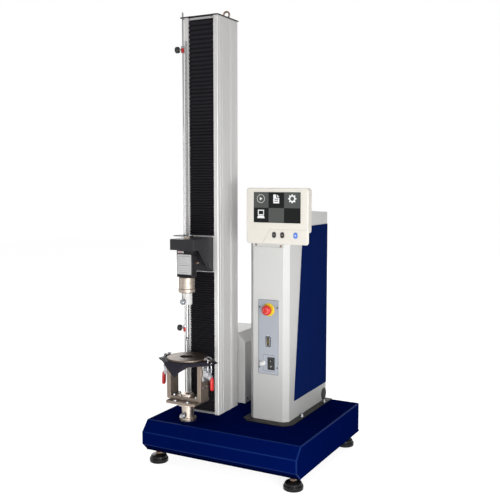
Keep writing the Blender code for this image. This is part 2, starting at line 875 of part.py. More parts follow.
def column_extrusion():
    column = flat("column_extrusion", [column_outline()], COLUMN_HEIGHT)
    return put(column, (COLUMN_X, COLUMN_FRONT, DECK), anodised_aluminium(), BASE)


def column_top_plate():
    left = ROD_X - COLUMN_X - ROD_RADIUS - TOP_PLATE_OVERHANG
    right = COLUMN_WIDTH / 2 + TOP_PLATE_OVERHANG
    outline = rounded(
        [
            (left, -TOP_PLATE_OVERHANG),
            (right, -TOP_PLATE_OVERHANG),
            (right, COLUMN_DEPTH + TOP_PLATE_OVERHANG),
            (left, COLUMN_DEPTH + TOP_PLATE_OVERHANG),
        ],
        0.003,
    )
    rod_hole = circle(ROD_RADIUS + GAP, (ROD_X - COLUMN_X, ROD_SETBACK), 20)
    plate = flat("column_top_plate", [outline, rod_hole], TOP_PLATE)
    return put(plate, (COLUMN_X, COLUMN_FRONT, COLUMN_TOP + GAP), black_paint(), BASE)


def eye_bolt():
    profile = [
        (0.0, EYE_COLLAR_HEIGHT),
        (EYE_COLLAR_RADIUS - 0.001, EYE_COLLAR_HEIGHT),
        (EYE_COLLAR_RADIUS, EYE_COLLAR_HEIGHT - 0.001),
        (EYE_COLLAR_RADIUS, 0.0),
        (0.0, 0.0),
    ]
    eye = turned("eye_bolt", profile, steps=20)
    ring_points = [
        (EYE_RING_RADIUS * math.cos(turn), 0.0, EYE_RING_RADIUS * math.sin(turn))
        for turn in np.linspace(0.0, 2 * math.pi, 20, endpoint=False)
    ]
    ring = wire("eye_bolt_ring", ring_points, EYE_WIRE, 2, cyclic=True)
    weld_on(eye, shifted(ring, (0.0, 0.0, 0.0008 + EYE_WIRE + EYE_RING_RADIUS)))
    at = (COLUMN_X + EYE_OFFSET[0], COLUMN_FRONT + EYE_OFFSET[1], COLUMN_TOP + TOP_PLATE + 2 * GAP)
    return put(eye, at, bright_steel(), BASE)


def pleated_section(length, pitch_low, pitch_high):
    """The side view of a bellows in (Y, Z): crests and folds at the front, a plain back.

    The pitch grows with the square of the height, from pitch_low at the foot to pitch_high at the top.
    """
    count = max(3, round(length / (pitch_low + (pitch_high - pitch_low) / 3)))
    share = np.linspace(0.0, 1.0, 2 * count + 1)
    height = pitch_low * share + (pitch_high - pitch_low) * share**3 / 3
    height *= length / height[-1]
    depth = np.where(np.arange(len(share)) % 2 == 1, 0.0, PLEAT_DEPTH)
    back = PLEAT_DEPTH + BELLOWS_BACKING
    front = list(zip(depth.tolist(), height.tolist()))
    return [(back, 0.0), (back, length)] + front[::-1]


def bellows(name, low, high, pitch_low, pitch_high):
    width = WINDOW - 2 * SLIDE_CLEARANCE
    folded = flat(name, [pleated_section(high - low, pitch_low, pitch_high)], width)
    at = (COLUMN_X - width / 2, COLUMN_FRONT + BELLOWS_SETBACK, low)
    return put(folded, at, bellows_cloth(), BASE, FACING_RIGHT)


def guide_rail():
    low = DECK + BEARING_HEIGHT + GAP
    high = COLUMN_TOP - BEARING_HEIGHT - GAP
    half = RAIL_WIDTH / 2
    waist = half - 0.003
    outline = [
        (-half, 0.0),
        (half, 0.0),
        (half, 0.005),
        (waist, 0.009),
        (half, 0.013),
        (half, RAIL_HEIGHT),
        (-half, RAIL_HEIGHT),
        (-half, 0.013),
        (-waist, 0.009),
        (-half, 0.005),
    ]
    rail = flat("guide_rail", [outline], high - low)
    at = (COLUMN_X, CAVITY_REAR - GAP - RAIL_HEIGHT, low)
    return put(rail, at, bright_steel(), BASE)


def bearing_block(name, base, lip_low):
    """A block across the cavity with the screw's journal bore and a lip that shows in the front window."""
    depth = COLUMN_DEPTH - COLUMN_REAR_WALL - COLUMN_LIP - 2 * GAP
    block = centred_box(name, CAVITY - 2 * GAP, depth, BEARING_HEIGHT)
    centre_y = COLUMN_LIP + GAP + depth / 2
    lip_width = WINDOW - 2 * GAP
    lip = box(
        name + "_lip",
        (-lip_width / 2, BELLOWS_SETBACK - centre_y, lip_low),
        (lip_width / 2, COLUMN_LIP + 0.004 - centre_y, lip_low + BEARING_LIP),
    )
    weld_on(block, lip)
    bore = rod(name + "_bore", SCREW_JOURNAL + GAP, -CUT_MARGIN, BEARING_HEIGHT + CUT_MARGIN)
    cut(block, shifted(bore, (0.0, SCREW_SETBACK - centre_y, 0.0)))
    return put(block, (COLUMN_X, COLUMN_FRONT + centre_y, base), anodised_aluminium(), BASE)


def ball_screw():
    low = PULLEY_TOP - PULLEY_HEIGHT
    thread_low = DECK + BEARING_HEIGHT + GAP
    thread_high = COLUMN_TOP - BEARING_HEIGHT - GAP
    top = COLUMN_TOP - GAP
    profile = [
        (0.0, top),
        (SCREW_JOURNAL, top),
        (SCREW_JOURNAL, thread_high),
        (SCREW_RADIUS, thread_high - 0.001),
        (SCREW_RADIUS, thread_low + 0.001),
        (SCREW_JOURNAL, thread_low),
        (SCREW_JOURNAL, low),
        (0.0, low),
    ]
    screw = turned("ball_screw", profile, steps=24)
    return put(screw, (COLUMN_X, SCREW_Y, 0.0), bright_steel(), SCREW)


def pulley(name, teeth, bore, x, y, carrier):
    """A belt pulley with notches for the belt's teeth round its rim."""
    low = PULLEY_TOP - PULLEY_HEIGHT
    radius = teeth * TOOTH_PITCH / (2 * math.pi)
    toothed = []
    for index in range(teeth):
        centre = 2 * math.pi * index / teeth
        quarter = 0.5 * math.pi / teeth
        for turn, reach in (
            (centre - 1.1 * quarter, radius),
            (centre - 0.8 * quarter, radius - TOOTH_DEPTH),
            (centre + 0.8 * quarter, radius - TOOTH_DEPTH),
            (centre + 1.1 * quarter, radius),
        ):
            toothed.append((reach * math.cos(turn), reach * math.sin(turn)))
    loops = [toothed] + ([circle(bore, sides=24)] if bore else [])
    wheel = flat(name, loops, PULLEY_HEIGHT)
    return put(wheel, (x, y, low), anodised_aluminium(), carrier)


def belt_outline(extra):
    """The closed belt line round both pulleys, extra outside their rims."""
    large = SCREW_PULLEY_RADIUS + extra
    small = MOTOR_PULLEY_RADIUS + extra
    lean = math.asin((large - small) / MOTOR_SETBACK)
    points = []
    for turn in np.linspace(math.pi - lean, 2 * math.pi + lean, 25):
        points.append((large * math.cos(turn), large * math.sin(turn)))
    for turn in np.linspace(lean, math.pi - lean, 15):
        points.append((small * math.cos(turn), MOTOR_SETBACK + small * math.sin(turn)))
    return points


def timing_belt():
    inner = 2 * GAP
    loops = [belt_outline(inner + BELT_THICKNESS), belt_outline(inner)]
    belt = flat("timing_belt", loops, BELT_WIDTH)
    low = PULLEY_TOP - (PULLEY_HEIGHT + BELT_WIDTH) / 2
    return put(belt, (COLUMN_X, SCREW_Y, low), black_rubber(), BASE)


def drive_motor():
    flange = flat("drive_motor", [rounded(rectangle(MOTOR_SQUARE, MOTOR_SQUARE), 0.006)], MOTOR_FLANGE)
    body = rounded(rectangle(MOTOR_SQUARE - 0.006, MOTOR_SQUARE - 0.006), 0.012)
    body_height = MOTOR_BODY - MOTOR_FLANGE / 2
    stack = [
        shifted(flat("drive_motor_body", [body], body_height), (0.0, 0.0, MOTOR_FLANGE / 2)),
        shifted(
            rod("drive_motor_encoder", MOTOR_SQUARE / 2 - 0.010, -0.002, MOTOR_CAP),
            (0.0, 0.0, MOTOR_BODY),
        ),
    ]
    weld_on(flange, *stack)
    shaft_gap = SHAFT_RADIUS + RUNNING_GAP
    bore = rod("drive_motor_bore", shaft_gap, -CUT_MARGIN, MOTOR_BODY / 2)
    cut(flange, bore)
    return put(flange, (COLUMN_X, MOTOR_Y, DECK), black_paint(), BASE)


def motor_shaft_pulley():
    """The motor's pulley, turned in one piece with the rotor shaft that it is pressed on."""
    wheel = pulley("motor_pulley", MOTOR_PULLEY_TEETH, 0.0, COLUMN_X, MOTOR_Y, MOTOR)
    top = DECK + MOTOR_BODY / 2 - 2 * GAP - (PULLEY_TOP - PULLEY_HEIGHT)
    shaft = rod("motor_pulley_shaft", SHAFT_RADIUS, PULLEY_HEIGHT / 2, top)
    weld_on(wheel, shaft)
    return wheel


def motor_cover():
    half = COVER_WIDTH / 2
    outline = [
        (-half, 0.0),
        (half, 0.0),
        (half, COVER_HEIGHT - COVER_CHAMFER),
        (half - COVER_CHAMFER, COVER_HEIGHT),
        (-half + COVER_CHAMFER, COVER_HEIGHT),
        (-half, COVER_HEIGHT - COVER_CHAMFER),
    ]
    rear = COLUMN_FRONT + COLUMN_DEPTH + COVER_FRONT_GAP + COVER_DEPTH
    cover = flat("motor_cover", [outline], COVER_DEPTH)
    hollow = inset(outline, [-CUT_MARGIN] + [COVER_SHEET] * (len(outline) - 1))
    inside = flat("motor_cover_hollow", [hollow], COVER_DEPTH - 2 * COVER_SHEET)
    cut(cover, shifted(inside, (0.0, 0.0, COVER_SHEET)))
    return put(cover, (COLUMN_X, rear, DECK), grey_paint(), BASE, FACING_FRONT)


def limit_rod():
    top = COLUMN_TOP + TOP_PLATE + ROD_ABOVE_PLATE - DECK
    profile = [
        (0.0, top),
        (ROD_RADIUS - 0.0006, top),
        (ROD_RADIUS, top - 0.0008),
        (ROD_RADIUS, ROD_FOOT_HEIGHT),
        (ROD_FOOT_RADIUS - 0.001, ROD_FOOT_HEIGHT),
        (ROD_FOOT_RADIUS, ROD_FOOT_HEIGHT - 0.001),
        (ROD_FOOT_RADIUS, 0.0),
        (0.0, 0.0),
    ]
    made = turned("limit_rod", profile, steps=16)
    return put(made, (ROD_X, ROD_Y, DECK), bright_steel(), BASE)


def stop_collar(label, height, carrier):
    """A collar that clamps on the rod with a thumb screw pointing to the left."""
    half = COLLAR_HEIGHT / 2
    bore = ROD_RADIUS + GAP
    profile = [
        (COLLAR_RADIUS - 0.0008, half),
        (COLLAR_RADIUS, half - 0.0008),
        (COLLAR_RADIUS, -half + 0.0008),
        (COLLAR_RADIUS - 0.0008, -half),
        (bore, -half),
        (bore, half),
    ]
    collar = turned("stop_collar_" + label, profile, steps=20, closed=True)
    knob_start = COLLAR_RADIUS + STOP_KNOB_NECK
    knob_end = knob_start + STOP_KNOB_LENGTH
    screw_profile = [
        (0.0, knob_end),
        (STOP_KNOB_RADIUS - 0.002, knob_end),
        (STOP_KNOB_RADIUS, knob_end - 0.002),
        (STOP_KNOB_RADIUS, knob_start + 0.002),
        (STOP_KNOB_RADIUS - 0.002, knob_start),
        (STOP_NECK_RADIUS, knob_start),
        (STOP_NECK_RADIUS, COLLAR_RADIUS - 0.0015),
        (0.0, COLLAR_RADIUS - 0.0015),
    ]
    thumb_screw = turned("stop_collar_" + label + "_thumb_screw", screw_profile, steps=16)
    weld_on(collar, shifted(thumb_screw, (0.0, 0.0, 0.0), POINTING_LEFT))
    return put(collar, (ROD_X, ROD_Y, DECK + height), red_plastic(), carrier)


def scale_strip():
    flange_centre = COLUMN_X - COLUMN_WIDTH / 2 + COLUMN_FLANGE / 2
    strip = box(
        "scale_strip",
        (-SCALE_WIDTH / 2, -SCALE_THICKNESS, 0.0),
        (SCALE_WIDTH / 2, 0.0, SCALE_LENGTH),
    )
    return put(strip, (flange_centre, COLUMN_FRONT - GAP, DECK), white_scale(), BASE)


def carriage():
    """The carriage in the column: front plate in the window, body with the ball nut, runner on the rail."""
    plate_width = WINDOW - 2 * SLIDE_CLEARANCE
    front = BELLOWS_SETBACK + GAP
    body_front = front + CARRIAGE_PLATE
    body_rear = COLUMN_DEPTH - COLUMN_REAR_WALL - GAP - RAIL_HEIGHT + 0.013
    plate = box(
        "carriage",
        (-plate_width / 2, front, 0.0),
        (plate_width / 2, body_front, CARRIAGE_HEIGHT),
    )
    body_inset = 0.010
    body = box(
        "carriage_body",
        (-CARRIAGE_WIDTH / 2, body_front - 0.001, body_inset),
        (CARRIAGE_WIDTH / 2, body_rear, CARRIAGE_HEIGHT - body_inset),
    )
    nut = shifted(
        rod("carriage_nut", NUT_RADIUS, CARRIAGE_HEIGHT - body_inset - 0.001, CARRIAGE_HEIGHT - body_inset + NUT_HEIGHT),
        (0.0, SCREW_SETBACK, 0.0),
    )
    weld_on(plate, body, nut)
    rail_slot = box(
        "carriage_rail_slot",
        (-RAIL_WIDTH / 2 - RUNNING_GAP, COLUMN_DEPTH - COLUMN_REAR_WALL - GAP - RAIL_HEIGHT - RUNNING_GAP, -CUT_MARGIN),
        (RAIL_WIDTH / 2 + RUNNING_GAP, COLUMN_DEPTH, CARRIAGE_HEIGHT + CUT_MARGIN),
    )
    screw_hole = shifted(
        rod("carriage_screw_hole", SCREW_RADIUS + RUNNING_GAP, -CUT_MARGIN, CARRIAGE_HEIGHT + NUT_HEIGHT),
        (0.0, SCREW_SETBACK, 0.0),
    )
    cut(plate, rail_slot, screw_hole)
    return put(plate, (COLUMN_X, COLUMN_FRONT, CARRIAGE_BOTTOM), anodised_aluminium(), CROSSHEAD)


def crosshead_arm():
    """The black arm: a block over the load cell, a back plate on the carriage and two gussets between them."""
    plate_front = -ARM_BACK_PLATE + BELLOWS_SETBACK
    plate_low = CARRIAGE_BOTTOM + ARM_LOW_STEP - ARM_TOP
    arm = box(
        "crosshead_arm",
        (-ARM_WIDTH / 2, -ARM_REACH, -ARM_THICKNESS),
        (ARM_WIDTH / 2, plate_front + 0.002, 0.0),
    )
    soften(arm, 0.0012, 1)
    plate = box(
        "crosshead_arm_plate",
        (-ARM_WIDTH / 2, plate_front, plate_low),
        (ARM_WIDTH / 2, BELLOWS_SETBACK, 0.0),
    )
    gusset_outline = [
        (plate_front + 0.001, plate_low + GUSSET_TIP),
        (plate_front + 0.001, -ARM_THICKNESS + 0.001),
        (-GUSSET_REACH, -ARM_THICKNESS + 0.001),
        (-GUSSET_REACH, -ARM_THICKNESS),
        (plate_front - GUSSET_TIP, plate_low + GUSSET_TIP),
    ]
    left = shifted(
        flat("crosshead_arm_left_gusset", [gusset_outline], GUSSET_THICKNESS),
        (-ARM_WIDTH / 2, 0.0, 0.0),
        FACING_RIGHT,
    )
    right = shifted(
        flat("crosshead_arm_right_gusset", [gusset_outline], GUSSET_THICKNESS),
        (ARM_WIDTH / 2 - GUSSET_THICKNESS, 0.0, 0.0),
        FACING_RIGHT,
    )
    weld_on(arm, plate, left, right)
    return put(arm, (COLUMN_X, COLUMN_FRONT, ARM_TOP), black_paint(), CROSSHEAD)


def limit_actuator():
    """The finger on the arm that reaches round the column's left edge and has the limit rod in its hole."""
    front = -ACTUATOR_WIDTH - 0.003
    rear = -0.003
    rod_x = ROD_X - COLUMN_X
    left = rod_x - ACTUATOR_BEYOND_ROD
    column_side = -COLUMN_WIDTH / 2 - 0.0014
    outline = [
        (left, front),
        (-ACTUATOR_INNER, front),
        (-ACTUATOR_INNER, rear),
        (column_side, rear),
        (column_side, ROD_SETBACK + 0.009),
        (left, ROD_SETBACK + 0.009),
    ]
    hole = circle(ROD_RADIUS + 0.0016, (rod_x, ROD_SETBACK), 20)
    finger = flat("limit_actuator", [outline, hole], ACTUATOR_THICKNESS)
    return put(finger, (COLUMN_X, COLUMN_FRONT, ARM_TOP + GAP), black_paint(), CROSSHEAD)


def load_cell():
    """An S-beam: a block with one slot from each side, so that it bends as an S."""
    body = centred_box("load_cell", CELL_WIDTH, CELL_DEPTH, CELL_HEIGHT)
    soften(body, 0.0010, 1)
    upper_z = CELL_HEIGHT - CELL_SLOT_INSET
    half = CELL_WIDTH / 2
    depth = CELL_DEPTH / 2 + CUT_MARGIN
    upper = box(
        "load_cell_upper_slot",
        (half - CELL_SLOT_REACH, -depth, upper_z - CELL_SLOT),
        (half + CUT_MARGIN, depth, upper_z),
    )
    lower = box(
        "load_cell_lower_slot",
        (-half - CUT_MARGIN, -depth, CELL_SLOT_INSET),
        (-half + CELL_SLOT_REACH, depth, CELL_SLOT_INSET + CELL_SLOT),
    )
    cut(body, upper, lower)
    return put(body, (COLUMN_X, AXIS_Y, CELL_TOP - CELL_HEIGHT), black_paint(), CROSSHEAD)


def upper_coupling():
    low = -COUPLING_HEIGHT
    bore = COUPLING_BORE + GAP
    bore_top = low + SPIGOT_HEIGHT - LOCK_HEIGHT + 0.001
    profile = [
        (0.0, 0.0),
        (COUPLING_RADIUS - 0.0015, 0.0),
        (COUPLING_RADIUS, -0.0015),
        (COUPLING_RADIUS, low + 0.0006),
        (COUPLING_RADIUS - 0.0006, low),
        (bore, low),
        (bore, bore_top),
        (0.0, bore_top),
    ]
    body = turned("upper_coupling", profile, steps=40)
    return put(body, (COLUMN_X, AXIS_Y, COUPLING_TOP), nickel_steel(), CROSSHEAD)


def coupling_ring():
    bore = COUPLING_BORE + GAP
    profile = [
        (LOCK_RADIUS - 0.0012, 0.0),
        (LOCK_RADIUS, -0.0012),
        (LOCK_RADIUS, -LOCK_HEIGHT + 0.0022),
        (LOCK_RADIUS - 0.0022, -LOCK_HEIGHT),
        (bore, -LOCK_HEIGHT),
        (bore, 0.0),
    ]
    ring = turned("coupling_ring", profile, steps=40, closed=True)
    hole = rod("coupling_ring_spanner_hole", 0.0022, LOCK_RADIUS - 0.006, LOCK_RADIUS + CUT_MARGIN, 16)
    cut(ring, shifted(hole, (0.0, 0.0, -LOCK_HEIGHT / 2), (math.radians(95), 0.0, math.radians(42))))
    return put(ring, (COLUMN_X, AXIS_Y, LOCK_TOP), nickel_steel(), COUPLING_NUT)


def probe_sleeve():
    bore = PROBE_RADIUS + GAP
    profile = [
        (0.0, SPIGOT_HEIGHT),
        (COUPLING_BORE - 0.001, SPIGOT_HEIGHT),
        (COUPLING_BORE, SPIGOT_HEIGHT - 0.001),
        (COUPLING_BORE, 0.0),
        (SLEEVE_RADIUS - 0.001, 0.0),
        (SLEEVE_RADIUS, -0.001),
        (SLEEVE_RADIUS, -SLEEVE_HEIGHT + 0.0012),
        (SLEEVE_RADIUS - 0.0012, -SLEEVE_HEIGHT),
        (bore, -SLEEVE_HEIGHT),
        (bore, -SLEEVE_HEIGHT + PROBE_SEAT),
        (0.0, -SLEEVE_HEIGHT + PROBE_SEAT),
    ]
    sleeve = turned("probe_sleeve", profile, steps=28)
    hole = rod("probe_sleeve_pin_hole", PIN_RADIUS + GAP, 0.0, SLEEVE_RADIUS + CUT_MARGIN, 20)
    cut(sleeve, shifted(hole, (0.0, 0.0, -SLEEVE_HEIGHT + PROBE_SEAT / 2), FACING_FRONT))
    return put(sleeve, (COLUMN_X, AXIS_Y, SLEEVE_TOP), white_plastic(), CROSSHEAD)


def puncture_probe():
    radius = PROBE_RADIUS
    dome = [
        (radius * math.cos(turn), -PROBE_EXPOSED + radius - radius * math.sin(turn))
        for turn in np.linspace(0.0, math.pi / 2, 5)
    ]
    top = PROBE_SEAT - GAP
    profile = [(0.0, top), (radius - 0.0005, top), (radius, top - 0.0005)] + dome[:-1]
    profile += [(0.0, -PROBE_EXPOSED)]
    probe = turned("puncture_probe", profile, steps=24)
    return put(probe, (COLUMN_X, AXIS_Y, SLEEVE_BOTTOM), bright_steel(), CROSSHEAD)


def cross_pin(name, host_radius, depth, at, carrier):
    """A pin that goes into a part of radius host_radius from the front, with a round knurled head."""
    start = host_radius + PIN_NECK
    end = start + PIN_KNOB_LENGTH
    tip = host_radius - depth
    profile = [
        (0.0, end),
        (PIN_KNOB_RADIUS - 0.0012, end),
        (PIN_KNOB_RADIUS, end - 0.0012),
        (PIN_KNOB_RADIUS, start + 0.0012),
        (PIN_KNOB_RADIUS - 0.0012, start),
        (PIN_RADIUS, start),
        (PIN_RADIUS, tip + 0.0006),
        (PIN_RADIUS - 0.0006, tip),
        (0.0, tip),
    ]
    pin = turned(name, profile, steps=20)
    return put(pin, at, bright_steel(), carrier, FACING_FRONT)


def fixture_stem():
    top = STEM_HEIGHT
    flange_low = top - STEM_FLANGE
    profile = [
        (0.0, top),
        (STEM_FLANGE_RADIUS - 0.001, top),
        (STEM_FLANGE_RADIUS, top - 0.001),
        (STEM_FLANGE_RADIUS, flange_low + 0.001),
        (STEM_FLANGE_RADIUS - 0.001, flange_low),
        (STEM_FIXTURE_RADIUS + 0.002, flange_low),
        (STEM_FIXTURE_RADIUS, flange_low - 0.002),
        (STEM_FIXTURE_RADIUS, 0.0),
        (STEM_SPIGOT_RADIUS, 0.0),
        (STEM_SPIGOT_RADIUS, -STEM_SPIGOT + 0.001),
        (STEM_SPIGOT_RADIUS - 0.001, -STEM_SPIGOT),
        (0.0, -STEM_SPIGOT),
    ]
    stem = turned("fixture_stem", profile, steps=32)
    hole = rod("fixture_stem_pin_hole", PIN_RADIUS + GAP, 0.0, STEM_FIXTURE_RADIUS + CUT_MARGIN, 20)
    cut(stem, shifted(hole, (0.0, 0.0, FIXTURE_PIN_HEIGHT), FACING_FRONT))
    return put(stem, (COLUMN_X, AXIS_Y, DECK), nickel_steel(), BASE)


def base_lock_ring():
    """The slotted ring nut that locks the stem on the base."""
    bore = STEM_FIXTURE_RADIUS + GAP
    profile = [
        (NUT_RING_RADIUS - 0.0008, NUT_RING_HEIGHT),
        (NUT_RING_RADIUS, NUT_RING_HEIGHT - 0.0008),
        (NUT_RING_RADIUS, 0.0035),
        (NUT_RING_RADIUS - 0.0030, 0.0),
        (bore, 0.0),
        (bore, NUT_RING_HEIGHT),
    ]
    ring = turned("base_lock_ring", profile, steps=36, closed=True)
    for index in range(NUT_SLOTS):
        turn = 2 * math.pi * (index + 0.5) / NUT_SLOTS
        slot = box(
            "base_lock_ring_slot_%d" % index,
            (NUT_RING_RADIUS - NUT_SLOT_DEPTH, -NUT_SLOT_WIDTH / 2, -CUT_MARGIN),
            (NUT_RING_RADIUS + CUT_MARGIN, NUT_SLOT_WIDTH / 2, NUT_RING_HEIGHT + CUT_MARGIN),
        )
        cut(ring, shifted(slot, (0.0, 0.0, 0.0), (0.0, 0.0, turn)))
    return put(ring, (COLUMN_X, AXIS_Y, DECK), nickel_steel(), LOCK_NUT)


def fixture_base_plate():
    outline = rounded(rectangle(PLATE_WIDTH, PLATE_DEPTH), 0.002, 2)
    holes = [
        circle(PLATE_HOLE_RADIUS, (side * PLATE_HOLE_X, end * PLATE_HOLE_Y), 16)
        for side in (-1, 1)
        for end in (-1, 1)
    ]
    plate = flat("fixture_base_plate", [outline] + holes, PLATE_THICKNESS)
    return put(plate, (COLUMN_X, AXIS_Y, PLATE_BOTTOM), nickel_steel(), BASE)


def fixture_frame():
    """Two uprights bent up from one bar, with the round seat for the specimen on top."""
    half = FIXTURE_WIDTH / 2
    inner = half - UPRIGHT_THICKNESS
    height = SEAT_HEIGHT - WEB_BOTTOM
    seat_low = height - SEAT_THICKNESS
    outer_loop = rounded([(-half, 0.0), (half, 0.0), (half, height), (-half, height)], FIXTURE_BEND)
    outer_loop = [point for point in outer_loop if point[1] < height / 2]
    outer_loop += [(half, seat_low + 0.001), (-half, seat_low + 0.001)]
    window = rounded(
        [(-inner, WEB_THICKNESS), (inner, WEB_THICKNESS), (inner, seat_low), (-inner, seat_low)], 0.002
    )
    window_cut = [(x, y + (0.0 if y < height / 2 else 0.004)) for x, y in window]
    uprights = flat("fixture_frame", [outer_loop], FIXTURE_DEPTH)
    opening = flat("fixture_frame_window", [window_cut], FIXTURE_DEPTH + 2 * CUT_MARGIN)
    cut(uprights, shifted(opening, (0.0, 0.0, -CUT_MARGIN)))
    seat = flat("fixture_frame_seat", [circle(SEAT_RADIUS, sides=48), circle(RING_HOLE_RADIUS)], SEAT_THICKNESS)
    # The frame's own axes are (X, Z, -Y), so the seat is turned back to lie flat.
    weld_on(uprights, shifted(seat, (0.0, seat_low, FIXTURE_DEPTH / 2), (-math.pi / 2, 0.0, 0.0)))
    at = (COLUMN_X, AXIS_Y + FIXTURE_DEPTH / 2, WEB_BOTTOM)
    return put(uprights, at, nickel_steel(), BASE, FACING_FRONT)


def clamp_ring():
    """The disc that holds the specimen down, with an ear on each side for the latch hooks."""
    half = EAR_WIDTH / 2
    ear_start = math.asin(half / RING_RADIUS)
    outline = []
    for side in (0.0, math.pi):
        for turn in np.linspace(side + ear_start, side + math.pi - ear_start, 25):
            outline.append((RING_RADIUS * math.cos(turn), RING_RADIUS * math.sin(turn)))
        direction = -1.0 if side == 0.0 else 1.0
        outline.append((direction * EAR_REACH, -direction * half))
        outline.append((direction * EAR_REACH, direction * half))
    ring = flat("clamp_ring", [outline, circle(RING_HOLE_RADIUS)], RING_THICKNESS)
    soften(ring, 0.0008, 1, 50.0)
    return put(ring, (COLUMN_X, AXIS_Y, RING_BOTTOM), nickel_steel(), BASE)


def draped(x, y, z):
    """Where a point of the flat sheet lies when each corner beyond the ring bends down along straight folds."""
    for axis, side, first, growth in CORNER_BENDS:
        along = side * (x, y)[axis]
        beyond = along - RING_RADIUS
        if beyond <= 0.0:
            continue
        start = math.radians(first) * min(1.0, beyond / FOLD_LENGTH)
        rate = math.radians(growth)
        last = start + rate * beyond
        out = (math.sin(last) - math.sin(start)) / rate + z * math.sin(last)
        up = (math.cos(last) - math.cos(start)) / rate + z * math.cos(last)
        moved = side * (RING_RADIUS + out)
        return (moved, y, up) if axis == 0 else (x, moved, up)
    return x, y, z


def latch_slots():
    """(low x, high x, y) of each slot in the sheet, from its centre, for the legs of the right latch hook."""
    leg = FIXTURE_WIDTH / 2 + HOOK_LEG_OUT
    swing = math.hypot(LATCH_HOOK_OUT, LATCH_HOOK_DROP) - LATCH_HOOK_OUT
    spare = HOOK_WIRE + 2 * SLIDE_CLEARANCE
    return leg - spare, leg + swing + spare


def specimen_sheet():
    """The square sheet under the ring, set cornerwise, with its free corners hanging."""
    corner = SHEET_SIDE / math.sqrt(2)
    outline = [(0.0, -corner), (corner, 0.0), (0.0, corner), (-corner, 0.0)]
    low, high = latch_slots()
    width = 2 * HOOK_WIRE + 4 * SLIDE_CLEARANCE
    loops = [outline, circle(SHEET_HOLE_RADIUS, sides=24)]
    for side in (-1, 1):
        for end in (-1, 1):
            loops.append(rectangle(high - low, width, (side * (low + high) / 2, end * HOOK_LEG_Y)))
    sheet = flat("specimen_sheet", loops, SHEET_THICKNESS)
    made = bmesh.new()
    made.from_mesh(sheet.data)
    for axis, side, _, _ in CORNER_BENDS:
        normal = Vector((1.0 - axis, float(axis), 0.0))
        for reach in [RING_RADIUS] + list(np.arange(RING_RADIUS + FOLD_LENGTH, corner, SHEET_STEP)):
            everything = made.verts[:] + made.edges[:] + made.faces[:]
            bmesh.ops.bisect_plane(
                made, geom=everything, dist=1e-5, plane_co=normal * side * reach, plane_no=normal
            )
    bmesh.ops.triangulate(made, faces=made.faces)
    for vertex in made.verts:
        vertex.co = draped(*vertex.co)
    made.to_mesh(sheet.data)
    made.free()
    sheet.data.shade_smooth()
    return put(sheet, (COLUMN_X, AXIS_Y, SHEET_BOTTOM), specimen_film(), BASE)


def latch_base(label, side):
    """The bracket on an upright: a plate with two ears that hold the handle's pivot."""
    face = FIXTURE_WIDTH / 2 + GAP
    pivot = FIXTURE_WIDTH / 2 + LATCH_PIVOT_OUT
    half = LATCH_EAR_Y + LATCH_EAR
    plate = box(
        "latch_base_" + label,
        (min(side * face, side * (face + LATCH_PLATE)), -half, LATCH_PLATE_LOW),
        (max(side * face, side * (face + LATCH_PLATE)), half, LATCH_PLATE_HIGH),
    )
    ear_low = LATCH_PIVOT_HEIGHT - 0.008
    ear_high = LATCH_PIVOT_HEIGHT + 0.008
    for end in (-1, 1):
        inner = end * LATCH_EAR_Y
        outer = end * half
        outline = rounded(
            [(face, ear_low - 0.004), (pivot + 0.005, ear_low), (pivot + 0.005, ear_high), (face, ear_high + 0.004)],
            0.004,
        )
        if side < 0:
            outline = [(-x, z) for x, z in reversed(outline)]
        ear = flat("latch_base_%s_ear_%d" % (label, end), [outline], LATCH_EAR)
        weld_on(plate, shifted(ear, (0.0, max(inner, outer), 0.0), FACING_FRONT))
    hole = rod("latch_base_%s_pin_hole" % label, PIVOT_RADIUS + GAP, -half - CUT_MARGIN, half + CUT_MARGIN, 20)
    cut(plate, shifted(hole, (side * pivot, 0.0, LATCH_PIVOT_HEIGHT), FACING_FRONT))
    return put(plate, (COLUMN_X, AXIS_Y, 0.0), bright_steel(), BASE)


